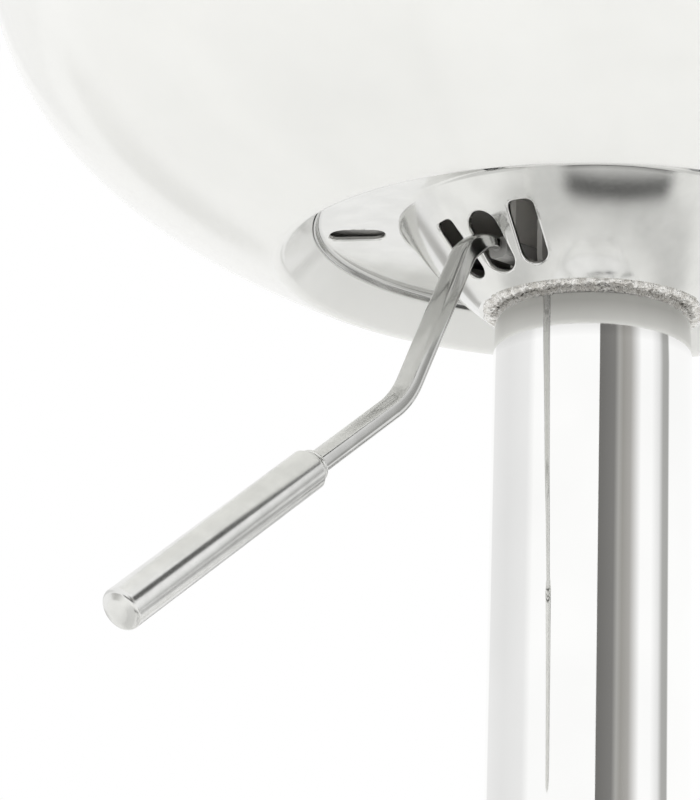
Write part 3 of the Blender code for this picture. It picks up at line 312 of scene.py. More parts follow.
FINISH_OF_SLOT = {
    Slot.CHROME: TUBE_CHROME,
    Slot.ZINC_STEEL: ZINC_STEEL,
    Slot.CAST_IRON: CAST_IRON,
    # Black paint is drawn grey here: painted light.
    Slot.BLACK_PAINT: GREY_PAINTED_LIGHT,
    Slot.BRASS: TURNED_BRASS,
    Slot.WHITE_PLASTIC: WHITE_ABS,
    Slot.BLACK_PLASTIC: BLACK_ACETAL,
    Slot.RUBBER: BLACK_RUBBER,
}


def start_fresh() -> None:
    """Leaves edit mode and deselects everything."""
    if bpy.context.mode != "OBJECT":
        bpy.ops.object.mode_set(mode="OBJECT")
    bpy.ops.object.select_all(action="DESELECT")


def take_up(piece: bpy.types.Object) -> None:
    """Makes one piece the only selected and active one."""
    start_fresh()
    piece.select_set(True)
    bpy.context.view_layer.objects.active = piece


def close_up(piece: bpy.types.Object) -> None:
    """Merges the doubles of a closed shape and turns its faces outwards."""
    take_up(piece)
    bpy.ops.object.mode_set(mode="EDIT")
    bpy.ops.mesh.select_all(action="SELECT")
    bpy.ops.mesh.remove_doubles(threshold=MERGE)
    bpy.ops.mesh.normals_make_consistent(inside=False)
    bpy.ops.object.mode_set(mode="OBJECT")


def start_point(name: str, at: Sequence[float]) -> bpy.types.Object:
    """Adds a piece that is one point, selected in edit mode and ready to be extruded.

    Args:
        name: Name of the piece.
        at: Place of the point.

    Returns:
        The piece, at the origin.
    """
    start_fresh()
    bpy.ops.mesh.primitive_plane_add(size=SPECK, location=at)
    piece = bpy.context.object
    piece.name = name
    bpy.ops.object.transform_apply(location=True, rotation=True, scale=True)
    bpy.ops.object.mode_set(mode="EDIT")
    bpy.ops.mesh.select_all(action="SELECT")
    bpy.ops.mesh.merge(type="CENTER")
    return piece


def bezier(
    a: Sequence[float], b: Sequence[float], c: Sequence[float], d: Sequence[float], count: int
) -> Ring:
    """Points of a curve with two handles.

    Args:
        a: Start.
        b: Handle of the start.
        c: Handle of the end.
        d: End.
        count: Steps along the curve.

    Returns:
        The points, with both ends.
    """
    a, b, c, d = Vector(a), Vector(b), Vector(c), Vector(d)
    points = []
    for i in range(count + 1):
        t = i / count
        s = 1 - t
        points.append(a * s**3 + b * (3 * s * s * t) + c * (3 * s * t * t) + d * t**3)
    return points


def rounded(corners: Sequence[Sequence[float]], steps: int = 8) -> Ring:
    """Draws a line through corners, of which those with a third number are rounded to that radius.

    Args:
        corners: Points as (x, y) or (x, y, radius).
        steps: Facets of a rounded corner.

    Returns:
        The points of the line.
    """
    points: Ring = []
    for i, corner in enumerate(corners):
        here = Vector(corner[:2])
        if len(corner) < 3 or i in (0, len(corners) - 1):
            points.append(here)
            continue
        back = (Vector(corners[i - 1][:2]) - here).normalized()
        ahead = (Vector(corners[i + 1][:2]) - here).normalized()
        half = back.angle(ahead) / 2
        centre = here + (back + ahead).normalized() * corner[2] / math.sin(half)
        first = here + back * corner[2] / math.tan(half) - centre
        last = here + ahead * corner[2] / math.tan(half) - centre
        sweep = first.angle_signed(last)
        points += [centre + Matrix.Rotation(-sweep * k / steps, 2) @ first for k in range(steps + 1)]
    return points


def beside(path: Ring, distance: float) -> Ring:
    """Line at a distance to the left of a path, with its corners kept.

    Args:
        path: Points of the path.
        distance: How far to the left.

    Returns:
        As many points as the path has.
    """
    least = 0.3  # keeps the point of a very sharp corner near
    moved = []
    for i, point in enumerate(path):
        ways = []
        if i:
            ways.append((point - path[i - 1]).normalized())
        if i < len(path) - 1:
            ways.append((path[i + 1] - point).normalized())
        normals = [Vector((-w.y, w.x)) for w in ways]
        middle = sum(normals, Vector((0.0, 0.0))).normalized()
        moved.append(point + middle * distance / max(middle.dot(normals[0]), least))
    return moved


def ring_section(inner: float, outer: float, low: float, high: float, edge: float) -> Ring:
    """Closed section of a ring with rounded edges.

    Args:
        inner: Inner radius.
        outer: Outer radius.
        low: Lower face.
        high: Upper face.
        edge: Radius of the edges.

    Returns:
        The points of the section.
    """
    middle = (inner + outer) / 2
    corners = [
        (middle, low), (outer, low, edge), (outer, high, edge), (inner, high, edge), (inner, low, edge),
        (middle, low),
    ]
    return rounded(corners, 4)[:-1]


def squarish(angle: float, power: float) -> tuple[float, float]:
    """Point of a circle, drawn towards a square by a power below 1."""
    c, s = math.cos(angle), math.sin(angle)
    return math.copysign(abs(c) ** power, c), math.copysign(abs(s) ** power, s)


def heading(line: Ring, i: int) -> Vector:
    """Direction of a line at one of its points."""
    return (line[min(i + 1, len(line) - 1)] - line[max(i - 1, 0)]).normalized()


def turned(name: str, section: Ring, steps: int = 96) -> bpy.types.Object:
    """Turns a closed section, given as (radius, height), round the column's axis.

    Args:
        name: Name of the piece.
        section: Points of the section, without the first one again.
        steps: Facets round the axis.

    Returns:
        The closed piece.
    """
    piece = start_point(name, (section[0].x, 0, section[0].y))
    for a, b in zip(section, section[1:] + section[:1]):
        step = (b.x - a.x, 0, b.y - a.y)
        bpy.ops.mesh.extrude_vertices_move(TRANSFORM_OT_translate={"value": step})
    bpy.ops.mesh.select_all(action="SELECT")
    bpy.ops.mesh.spin(steps=steps, angle=math.tau, center=(0, 0, 0), axis=(0, 0, 1))
    bpy.ops.object.mode_set(mode="OBJECT")
    close_up(piece)
    return piece


def skinned(name: str, rings: Sequence[Sequence[Vector]], around: bool = False) -> bpy.types.Object:
    """Skins rings of equally many points, each of them closed, over a grid.

    Args:
        name: Name of the piece.
        rings: The rings in order. Ends are closed by rings whose points lie together.
        around: Whether the last ring joins the first.

    Returns:
        The closed piece.
    """
    rows = [list(ring) + [ring[0]] for ring in rings]
    if around:
        rows.append(rows[0])
    else:
        rows = [[rows[0][0].lerp(rows[0][len(rows[0]) // 2], 0.5)] * len(rows[0])] + rows
        rows.append([rows[-1][0].lerp(rows[-1][len(rows[-1]) // 2], 0.5)] * len(rows[-1]))
    start_fresh()
    bpy.ops.mesh.primitive_grid_add(x_subdivisions=len(rows) - 1, y_subdivisions=len(rows[0]) - 1, size=1)
    piece = bpy.context.object
    piece.name = name
    for vertex in piece.data.vertices:
        i = round((vertex.co.x + 0.5) * (len(rows) - 1))
        j = round((vertex.co.y + 0.5) * (len(rows[0]) - 1))
        vertex.co = rows[i][j]
    close_up(piece)
    return piece


def put(piece: bpy.types.Object, place: Matrix) -> None:
    """Moves a piece's mesh to its place and leaves the object at the origin."""
    take_up(piece)
    piece.matrix_world = place
    bpy.ops.object.transform_apply(location=True, rotation=True, scale=True)


def copied(piece: bpy.types.Object, name: str) -> bpy.types.Object:
    """Copies a piece with its own mesh."""
    take_up(piece)
    bpy.ops.object.duplicate(linked=False)
    bpy.context.object.name = name
    return bpy.context.object


def cut(piece: bpy.types.Object, cutter: bpy.types.Object) -> None:
    """Cuts one shape out of a piece and throws the cutter away."""
    take_up(piece)
    bpy.ops.object.modifier_add(type="BOOLEAN")
    change = piece.modifiers[-1]
    change.operation = "DIFFERENCE"
    change.solver = "EXACT"
    change.object = cutter
    bpy.ops.object.modifier_apply(modifier=change.name)
    bpy.data.objects.remove(cutter)


def place(piece: bpy.types.Object, body: Body, slot: Slot, finish: Finish, node: str) -> None:
    """Shades and dresses a finished piece and sets it in the frame.

    Large faces rule the shading, so that long flat stretches mirror straight.

    Args:
        piece: The piece, with its place in its mesh.
        body: Body that it moves with.
        slot: Material slot of the record; not used.
        finish: Its finish, unless it has one already.
        node: CAD node that it stands for.
    """
    take_up(piece)
    bpy.ops.object.shade_smooth_by_angle(angle=SMOOTH_ANGLE)
    bpy.ops.object.modifier_add(type="WEIGHTED_NORMAL")
    change = piece.modifiers[-1]
    change.keep_sharp = True
    bpy.ops.object.modifier_apply(modifier=change.name)
    if not piece.data.materials:
        piece.data.materials.append(finish.material())
    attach(piece, body.value)
    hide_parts(node)
    log.info("%s: %d faces, rides on %s", piece.name, len(piece.data.polygons), body.value)


@dataclass
class Bell:
    """Deep-drawn bell with flange and turned-down rim, its lever slots and its flange slots."""

    sheet: float = 0.0014
    tube_radius: float = 0.0303
    foot_radius: float = 0.0345
    foot_rise: float = 0.0022
    foot_handle: tuple[float, float] = (0.0085, 0.0058)
    top_radius: float = 0.0585
    top_drop: float = 0.0012
    top_handle: tuple[float, float] = (0.0050, 0.0080)
    crest_ways: tuple[float, float, float] = (0.0008, 0.0014, 0.0034)
    crest_ease: float = 0.0001
    flange_rise: float = 0.0295
    flange_radius: float = 0.0855
    flange_fall: float = 0.0016
    flange_steps: int = 12
    rim_sheet: float = 0.0006
    rim_depth: float = 0.0037
    rim_round: float = 0.0014
    slot_rises: tuple[float, float, float] = (0.0133, 0.0127, 0.0133)
    slot_length: float = 0.0205
    slot_widths: tuple[float, float, float] = (0.0082, 0.0102, 0.0082)
    slot_squares: tuple[float, float, float] = (0.5, 1.0, 0.5)
    slot_spacing: float = math.radians(16.8)
    flange_slots: int = 4
    flange_slot_square: float = 0.8
    flange_slot_circle: float = 0.0735
    flange_slot_length: float = 0.01686
    flange_slot_width: float = 0.0098
    flange_slot_turn: float = math.radians(173.0)
    flange_slot_skew: float = math.radians(15.0)
    edge_round: float = 0.0007
    edge_flare: float = 1.3
    edge_skin: float = 0.00012
    cut_out: float = 0.004
    cut_in: float = 0.006
    cut_points: int = 64
    plated_foot: float = 0.0015
    bare_facing: tuple[float, float, float] = (0.2, 0.1, 0.9)
    steps: int = 216

    def path(self) -> Ring:
        """Lower side from the tube outwards, as (radius, height)."""
        foot, flange = WELD_Z + self.foot_rise, WELD_Z + self.flange_rise
        wall = bezier(
            (self.foot_radius, foot),
            (self.foot_radius + self.foot_handle[0], foot + self.foot_handle[1]),
            (self.top_radius - self.top_handle[0], flange - self.top_handle[1]),
            (self.top_radius, flange - self.top_drop), 26)
        first, second, last = self.crest_ways
        crest = bezier(
            wall[-1], (self.top_radius + first, flange - self.crest_ease), (self.top_radius + second, flange),
            (self.top_radius + last, flange), 8)
        start, end = crest[-1].x, self.flange_radius - self.rim_sheet
        shares = [k / self.flange_steps for k in range(1, self.flange_steps)]
        dome = [(start + (end - start) * s, flange - self.flange_fall * s**2) for s in shares]
        rim = rounded(
            dome + [(end, flange - self.flange_fall, self.rim_round), (end, flange - self.rim_depth)], 8)
        return [Vector((self.tube_radius, foot))] + wall + crest[1:] + rim

    def section(self) -> Ring:
        """Closed section of the sheet, which is drawn thin at the rim."""
        path = self.path()
        thin = self.flange_radius - self.rim_sheet - self.rim_round
        sides = zip(path, beside(path, self.sheet), beside(path, self.rim_sheet))
        return path + [thick if p.x < thin else slim for p, thick, slim in sides][::-1]

    def at(self, length: float, aside: float) -> tuple[Vector, Vector]:
        """Point of the lower side at a turn of 0, and the way out of the metal there.

        Args:
            length: Way along the section from its start.
            aside: Way round the bell from the slot's middle.

        Returns:
            The point and the outward direction.
        """
        path = self.path()
        left = length
        for a, b in zip(path, path[1:]):
            step = (b - a).length
            if left <= step:
                break
            left -= step
        point = a + (b - a) * (left / step)
        along = (b - a).normalized()
        turn = Matrix.Rotation(aside / point.x, 3, "Z")
        return turn @ Vector((point.x, 0, point.y)), turn @ Vector((along.y, 0, -along.x))

    def length_at(self, wanted: Callable[[Vector], bool], tries: int = 20) -> float:
        """Way along the section to the first point that fits.

        Args:
            wanted: Whether a point fits.
            tries: Points that are tried on each stretch.

        Returns:
            The way from the section's start.
        """
        path = self.path()
        length = 0.0
        for a, b in zip(path, path[1:]):
            for k in range(tries):
                if wanted(a.lerp(b, k / tries)):
                    return length + (b - a).length * k / tries
            length += (b - a).length
        return length

    def slot_cutter(
        self, name: str, middle: float, length: float, width: float, turn: float,
        squares: tuple[float, float], skew: float = 0.0,
    ) -> bpy.types.Object:
        """Shape that cuts a slot with rounded edges out of the sheet.

        Args:
            name: Name of the cutter.
            middle: Way along the section to the slot's middle.
            length: Length of the slot.
            width: Width of the slot.
            turn: Angle of the slot round the column.
            squares: 1 for a round end, less for a squarer one, at the outer and inner end.
            skew: Turn of the slot in the sheet, away from the way outwards.

        Returns:
            The cutter, which follows the sheet's curve.
        """
        edge = self.edge_round
        levels = [(self.cut_out, edge * self.edge_flare), (self.edge_skin, edge * self.edge_flare)]
        for degrees in range(20, 91, 14):
            angle = math.radians(degrees)
            levels.append((-edge * (1 - math.cos(angle)), edge * (1 - math.sin(angle))))
        levels.append((-self.cut_in, 0.0))
        rings = []
        for height, grow in levels:
            ring = []
            for k in range(self.cut_points):
                angle = math.tau * (k + 0.5) / self.cut_points
                radius = width / 2 + grow
                along, aside = squarish(angle, squares[0] if math.cos(angle) > 0 else squares[1])
                straight = math.copysign((length - width) / 2, along)
                spot = Matrix.Rotation(skew, 2) @ Vector((straight + radius * along, radius * aside))
                point, out = self.at(middle + spot.x, spot.y)
                ring.append(Matrix.Rotation(turn, 3, "Z") @ (point + out * height))
            rings.append(ring)
        return skinned(name, rings)

    def build(self) -> None:
        """Presses the bell, punches its slots and dresses it."""
        bell = turned("bell_flange_pressing", self.section(), self.steps)
        for i, (rise, width, square) in enumerate(zip(self.slot_rises, self.slot_widths, self.slot_squares)):
            wall = self.length_at(lambda p: p.y >= WELD_Z + rise)
            turn = LEVER_TURN + (i - 1) * self.slot_spacing
            cut(bell, self.slot_cutter("lever_slot_cut", wall, self.slot_length, width, turn, (square, 1.0)))
        flange = self.length_at(lambda p: p.x >= self.flange_slot_circle)
        for i in range(self.flange_slots):
            turn = self.flange_slot_turn + i * QUARTER_TURN
            cut(bell, self.slot_cutter(
                "flange_slot_cut", flange, self.flange_slot_length, self.flange_slot_width, turn,
                (self.flange_slot_square, self.flange_slot_square), self.flange_slot_skew))
        bell.data.materials.append(BELL_CHROME.material())
        # Inside of the bell: bare steel, painted pale as painted light.
        bell.data.materials.append(BARE_STEEL_PAINTED_LIGHT.material())
        self.bare_inside(bell)
        place(bell, Body.CARRIAGE, Slot.CHROME, BELL_CHROME, "bell_flange")

    def bare_inside(self, bell: bpy.types.Object) -> None:
        """Gives the faces that look into the bell or up at the seat the bare finish, painted pale as painted
        light.
        """
        inward, rising, level = self.bare_facing
        for face in bell.data.polygons:
            away = Vector((face.center.x, face.center.y, 0)).normalized()
            inwards = face.normal.dot(away) < -inward and face.normal.z > rising
            upwards = face.normal.z > level
            if (inwards or upwards) and face.center.z > WELD_Z + self.foot_rise + self.plated_foot:
                face.material_index = 1


@dataclass
class Weld:
    """Rippled fillet weld in the corner between tube and bell."""

    middle: tuple[float, float] = (0.0311, WELD_Z + 0.0022)
    half_width: float = 0.0021
    half_height: float = 0.0012
    lump_mm: float = 2.2
    lump_height: float = 0.0006
    lump_fractal: tuple[float, float, int] = (0.7, 2.3, 4)
    beats: int = 150
    beat_share: float = 0.2
    beat_wander: float = 3.0
    wander_per_metre: float = 120.0
    steps: int = 880
    across: int = 28

    def build(self) -> None:
        """Lays the bead and dresses it."""
        rings = []
        for i in range(self.steps):
            angle = math.tau * i / self.steps
            away = Vector((math.cos(angle), math.sin(angle), 0))
            ring = []
            for k in range(self.across):
                turn = math.tau * k / self.across
                spot = Vector((math.cos(turn), math.sin(turn)))
                point = away * (self.middle[0] + self.half_width * spot.x)
                point.z = self.middle[1] + self.half_height * spot.y
                lump = noise.fractal(point * per_metre(self.lump_mm), *self.lump_fractal)
                wander = self.beat_wander * noise.noise(point * self.wander_per_metre)
                beat = self.beat_share * math.sin(angle * self.beats + wander)
                out = away * spot.x + Vector((0, 0, spot.y))
                ring.append(point + out * (lump + beat) * self.lump_height)
            rings.append(ring)
        place(skinned("weld_seam", rings, True), Body.CARRIAGE, Slot.ZINC_STEEL, WELD_METAL, "weld_bead")


@dataclass
class ColumnTube:
    """Outer tube of the column, which moves with the seat, and the lip of its glide ring."""

    radius: float = 0.030
    wall: float = 0.0015
    low: float = 0.180
    high: float = 0.548
    edge: float = 0.0005
    neck_length: float = 0.023
    neck_draw: float = 0.0009
    neck_steps: int = 24
    glide_low: float = 0.1772
    glide_bore: float = 0.0254
    glide_depth: float = 0.01
    glide_sleeve: float = 0.019
    glide_rounds: tuple[float, float] = (0.0008, 0.0009)

    def section(self) -> Ring:
        """Closed section of the tube, whose upper end is drawn in a little for the weld."""
        bore = self.radius - self.wall
        start = self.high - self.neck_length
        shares = [k / self.neck_steps for k in range(1, self.neck_steps + 1)]
        neck = [(self.radius - self.neck_draw * s**2, start + self.neck_length * s) for s in shares]
        corners = [
            ((bore + self.radius) / 2, self.low), (self.radius, self.low, self.edge), (self.radius, start)]
        back = [(bore, self.high), (bore, self.low, self.edge), corners[0]]
        return rounded(corners + neck + back, 4)[:-1]

    def build(self) -> None:
        """Draws the tube and moulds the lip of the ring."""
        tube = turned("column_tube", self.section(), 160)
        place(tube, Body.CARRIAGE, Slot.CHROME, COLUMN_CHROME, "outer_tube")
        sleeve = self.radius - self.wall - GAP
        inner, outer = self.glide_rounds
        lip = rounded([
            (self.glide_bore, self.glide_low + self.glide_depth), (self.glide_bore, self.glide_low, inner),
            (self.radius, self.glide_low, outer), (self.radius, self.low - GAP, self.edge),
            (sleeve, self.low - GAP), (sleeve, self.low + self.glide_sleeve),
            (self.glide_bore, self.low + self.glide_sleeve),
        ], 5)
        ring = turned("tube_glide_lip", lip, 128)
        place(ring, Body.CARRIAGE, Slot.BLACK_PLASTIC, BLACK_ACETAL, "tube_glide_ring")


@dataclass
class Seat:
    """Hollow bowl seat of two moulded shells with a rolled edge and a low back."""

    recess_radius: float = 0.0857
    recess_rise: float = 0.0346
    recess_rounds: tuple[float, float] = (0.0008, 0.0016)
    slope_rise: float = 0.0258
    lip_radius: float = 0.0970
    lip_rise: float = 0.015
    lip_round: float = 0.0038
    lip_inset: tuple[float, float] = (0.0015, 0.0002)
    lip_handle: tuple[float, float] = (0.0545, 0.025)
    radius: float = 0.1915
    wide_rise: float = 0.131
    wide_handle: tuple[float, float] = (0.002, 0.063)
    back_draw: float = 0.006
    back_draw_power: float = 1.6
    wall: float = 0.004
    neck_wall: float = 0.0012
    neck_slope: float = 0.35
    hollow_start: float = 0.006
    build_depth: float = 0.026
    sit_rise: float = 0.076
    sit_ease: float = 0.010
    sit_handle: tuple[float, float] = (0.020, 0.007)
    sit_pull: float = 0.35
    dish_radius: float = 0.098
    dish_depth: float = 0.003
    dish_power: float = 2.6
    front_rise: float = 0.114
    back_rise: float = 0.300
    back_curve: float = 1.3
    pad: float = 0.0095
    tongue: float = 0.008
    tongue_wall: float = 0.0025
    roll_wall: float = 0.0028
    outside_steps: int = 48
    steps: int = 200

    def rim(self, angle: float) -> float:
        """Height of the edge above the weld, by the angle from the front."""
        share = ((1 - math.cos(angle)) / 2) ** self.back_curve
        return self.front_rise + (self.back_rise - self.front_rise) * share

    def outside(self, top: float, count: int) -> Ring:
        """Outside of the bowl from its lip up to a height above the weld, evenly spaced.

        Args:
            top: Height of the last point.
            count: Steps.

        Returns:
            Points as (radius, height above the weld).
        """
        curve = bezier(
            (self.lip_radius, self.lip_rise),
            (self.lip_radius + self.lip_handle[0], self.lip_rise + self.lip_handle[1]),
            (self.radius + self.wide_handle[0], self.wide_rise - self.wide_handle[1]),
            (self.radius, self.wide_rise), 120)
        tall = self.back_rise - self.wide_rise
        for share in (k / 40 for k in range(1, 41)):
            drawn = self.radius - self.back_draw * share**self.back_draw_power
            curve.append(Vector((drawn, self.wide_rise + tall * share)))
        kept = [p for p in curve if p.y < top - SLIVER]
        last, following = kept[-1], curve[len(kept)]
        kept.append(last.lerp(following, (top - last.y) / (following.y - last.y)))
        lengths = [0.0]
        for p, q in zip(kept, kept[1:]):
            lengths.append(lengths[-1] + (q - p).length)
        points = []
        k = 1
        for i in range(count + 1):
            want = lengths[-1] * i / count
            while k < len(kept) - 1 and lengths[k] < want:
                k += 1
            points.append(kept[k - 1].lerp(kept[k], (want - lengths[k - 1]) / (lengths[k] - lengths[k - 1])))
        return points

    def lower_section(self, angle: float) -> Ring:
        """Closed section of the outer bowl: recess, lip, outside, edge, then back along the hollow."""
        seam = self.rim(angle) - self.build_depth / 2
        outside = self.outside(seam, self.outside_steps)
        recess = rounded([
            (0, self.recess_rise), (self.recess_radius, self.recess_rise, self.recess_rounds[0]),
            (self.recess_radius, self.slope_rise, self.recess_rounds[1]),
            (self.lip_radius - self.lip_inset[0], self.lip_rise - self.lip_inset[1], self.lip_round),
            tuple(outside[1]),
        ], 8)
        inside = [p for p in beside(outside, self.wall) if p.x > self.lip_radius + self.hollow_start]
        inside += [inside[-1]] * (self.outside_steps - len(inside))
        inside[-1] = Vector((inside[-1].x, seam))
        top = self.recess_rise + self.pad
        neck = self.lip_radius + self.neck_wall
        low_corner = Vector((neck, inside[0].y - self.neck_slope * (inside[0].x - neck)))
        back = [low_corner, Vector((neck, top)), Vector((0, top))]
        return recess[:-1] + outside[1:] + inside[::-1] + back

    def upper_section(self, angle: float) -> Ring:
        """Closed section of the inner bowl: sitting side, rolled edge, tongue, then the hollow side."""
        roll = self.build_depth / 2
        seam = self.rim(angle) - roll
        outer = self.outside(seam, 2)[-1].x
        inner = outer - self.build_depth
        dish = []
        for share in (k / 8 for k in range(8)):
            rise = self.dish_depth * share**self.dish_power
            dish.append(Vector((self.dish_radius * share, self.sit_rise + rise)))
        pulled = self.sit_rise + self.sit_ease + self.sit_pull * (seam - self.sit_rise - self.sit_ease)
        wall = bezier(
            (self.dish_radius, self.sit_rise + self.dish_depth),
            (inner - self.sit_handle[0], self.sit_rise + self.sit_handle[1]),
            (inner, pulled), (inner, seam), 36)
        middle = Vector((outer - roll, seam))
        turns = [math.pi * (1 - k / 16) for k in range(1, 17)]
        edge = [middle + Vector((math.cos(turn), math.sin(turn))) * roll for turn in turns]
        edge[-1].y += GAP
        lap = self.wall + GAP
        foot = Vector((outer - lap - 2 * GAP, seam - self.tongue))
        tongue = [Vector((outer - lap - GAP, seam + GAP)), foot, foot - Vector((self.tongue_wall, 0))]
        turns = [math.pi * k / 8 for k in range(9)]
        inner_roll = roll - lap - self.roll_wall
        hollow = [middle + Vector((math.cos(turn), math.sin(turn))) * inner_roll for turn in turns]
        sitting = dish + wall
        under = beside(sitting, -self.wall)[::-1][1:-1]
        return sitting + edge + tongue + hollow + under + [Vector((0, self.sit_rise - self.wall))]

    def shell(self, name: str, section: Callable[[float], Ring]) -> bpy.types.Object:
        """Skins sections that change with the angle from the front.

        Args:
            name: Name of the shell.
            section: Gives the section at an angle.

        Returns:
            The shell.
        """
        rings = []
        for i in range(self.steps):
            angle = math.tau * i / self.steps
            away = Vector((-math.sin(angle), -math.cos(angle), 0))
            rings.append([away * p.x + Vector((0, 0, WELD_Z + p.y)) for p in section(angle)])
        return skinned(name, rings, True)

    def build(self) -> None:
        """Moulds both shells."""
        lower = self.shell("seat_outer_bowl", self.lower_section)
        place(lower, Body.CARRIAGE, Slot.WHITE_PLASTIC, WHITE_ABS, "seat_lower_shell")
        upper = self.shell("seat_inner_bowl", self.upper_section)
        place(upper, Body.CARRIAGE, Slot.WHITE_PLASTIC, WHITE_ABS, "seat_upper_shell")


@dataclass
class HeightLever:
    """Bent bar with a pressed end in the bell's slot, and its sleeve grip."""

    rise: float = 0.012
    root_out: float = 0.0428
    knee_out: float = 0.0545
    knee_bend: float = 0.014
    elbow_out: float = 0.0809
    elbow_drop: float = 0.0430
    elbow_bend: float = 0.028
    end_out: float = 0.1817
    end_drop: float = 0.1214
    spacing: float = 0.0006
    half_width: float = 0.0036
    half_height: float = 0.0032
    squareness: float = 0.62
    ring_points: int = 48
    tab_top: float = 0.0022
    tab_bottom: float = 0.0012
    tab_length: float = 0.013
    nose_length: float = 0.0030
    nose_width: float = 0.3
    dish_depth: float = 0.0005
    dish_length: float = 0.038
    dish_share: float = 0.62
    grip_length: float = 0.0825
    grip_radius: float = 0.0061
    grip_bore: float = 0.0034
    grip_bore_depth: float = 0.030
    grip_edge: float = 0.0003
    grip_mouth: float = 0.96
    mouth_round: float = 0.0002
    grip_dome: float = 0.0016
    dome_share: float = 0.55
    dome_round: float = 0.004
    dome_edge: float = 0.95
    dome_rise: float = 0.2
    spigot: float = 0.0031
    collar_length: float = 0.0026
    collar_shares: tuple[float, float, float] = (0.80, 0.68, 0.87)
    groove_share: float = 0.42
    groove_width: float = 0.0005
    collar_rounds: tuple[float, float, float] = (0.0004, 0.0003, 0.0001)

    def slope(self) -> Vector:
        """Direction of the straight stretch, in the lever's plane."""
        return Vector((self.end_out - self.elbow_out, self.elbow_drop - self.end_drop)).normalized()

    def centre_line(self) -> Ring:
        """Evenly spaced points of the bar's centre line in its plane, as (radius, height above the weld)."""
        end = Vector((self.end_out, -self.end_drop))
        shoulder = end - self.slope() * (self.grip_length + self.collar_length + 2 * GAP)
        corners = rounded([
            (self.root_out, self.rise), (self.knee_out, self.rise, self.knee_bend),
            (self.elbow_out, -self.elbow_drop, self.elbow_bend), tuple(shoulder),
        ], 24)
        points = [corners[0]]
        for a, b in zip(corners, corners[1:]):
            pieces = max(1, round((b - a).length / self.spacing))
            points += [a.lerp(b, (k + 1) / pieces) for k in range(pieces)]
        return points

    def ring(self, point: Vector, along: Vector, way: float) -> Ring:
        """Ring of points across the bar.

        Args:
            point: Centre, in the lever's plane.
            along: Direction of the bar there.
            way: Distance from the bar's pressed end.

        Returns:
            The ring, in the frame of a lever along +X.
        """
        fade = max(0.0, 1 - way / self.dish_length)
        dish = self.dish_depth * fade * fade * (3 - 2 * fade)
        grown = min(1.0, way / self.tab_length)
        grown = grown * grown * (3 - 2 * grown)
        nose = min(1.0, way / self.nose_length)
        round_off = math.sqrt(max(0.0, 1 - (1 - nose) ** 2))
        top = self.tab_top + (self.half_height - self.tab_top) * grown
        bottom = self.tab_bottom + (self.half_height - self.tab_bottom) * grown
        normal = Vector((-along.y, along.x))
        ring = []
        for k in range(self.ring_points):
            c, s = squarish(math.tau * (k + 0.5) / self.ring_points, self.squareness)
            hollow = dish * math.exp(-((s / self.dish_share) ** 4))
            width = (self.half_width - hollow) * (self.nose_width + (1 - self.nose_width) * round_off)
            at = point + normal * s * (top if s > 0 else bottom) * round_off
            ring.append(Vector((at.x, c * width, WELD_Z + at.y)))
        return ring

    def bar(self) -> bpy.types.Object:
        """Bends the bar and turns down its spigot."""
        line = self.centre_line()
        rings = []
        way = 0.0
        for i, point in enumerate(line):
            if i:
                way += (point - line[i - 1]).length
            rings.append(self.ring(point, heading(line, i), way))
        slope = self.slope()
        side = Vector((-slope.y, slope.x))
        for reach in (0.0, self.collar_length + self.grip_bore_depth):
            centre = line[-1] + slope * reach
            ring = []
            for k in range(self.ring_points):
                angle = math.tau * (k + 0.5) / self.ring_points
                at = centre + side * math.sin(angle) * self.spigot
                ring.append(Vector((at.x, math.cos(angle) * self.spigot, WELD_Z + at.y)))
            rings.append(ring)
        return skinned("lever_bar", rings)

    def sleeve_section(self) -> Ring:
        """Closed section of the grip, with its end at a height of 0."""
        mouth = -self.grip_length
        deep = mouth + self.grip_bore_depth + GAP
        return rounded([
            (0, deep), (self.grip_bore, deep), (self.grip_bore, mouth),
            (self.grip_radius * self.grip_mouth, mouth, self.mouth_round),
            (self.grip_radius, mouth + self.grip_edge, self.grip_edge),
            (self.grip_radius, -self.grip_dome * self.dome_share, self.grip_dome * self.dome_edge),
            (self.grip_radius * self.dome_share, 0.0, self.dome_round), (0, self.grip_dome * self.dome_rise),
        ], 8)

    def collar_section(self) -> Ring:
        """Closed section of the grooved ring at the grip's mouth."""
        high = -self.grip_length - GAP
        low = high - self.collar_length
        slim, neck, wide = (self.grip_radius * share for share in self.collar_shares)
        groove = low + self.collar_length * self.groove_share
        shoulder = groove + self.groove_width
        soft, crisp, sharp = self.collar_rounds
        return rounded([
            (self.grip_bore, low), (slim, low, soft), (slim, groove, crisp), (neck, groove, sharp),
            (neck, shoulder, sharp), (wide, shoulder, soft), (wide, high, crisp), (self.grip_bore, high),
        ], 4)

    def build(self) -> None:
        """Makes bar, grip and collar."""
        swing = Matrix.Rotation(LEVER_TURN, 4, "Z")
        bar = self.bar()
        put(bar, swing)
        place(bar, Body.LEVER, Slot.CHROME, BAR_CHROME, "lever_rod")
        slope = self.slope()
        along = Matrix.Rotation(math.atan2(slope.x, slope.y), 4, "Y")
        end = Matrix.Translation((self.end_out, 0, WELD_Z - self.end_drop))
        for name, section, node in (
            ("lever_sleeve_grip", self.sleeve_section(), "lever_grip"),
            ("grip_mouth_ring", self.collar_section(), "grip_collar"),
        ):
            piece = turned(name, section)
            put(piece, swing @ end @ along)
            place(piece, Body.LEVER, Slot.CHROME, SLEEVE_CHROME, node)


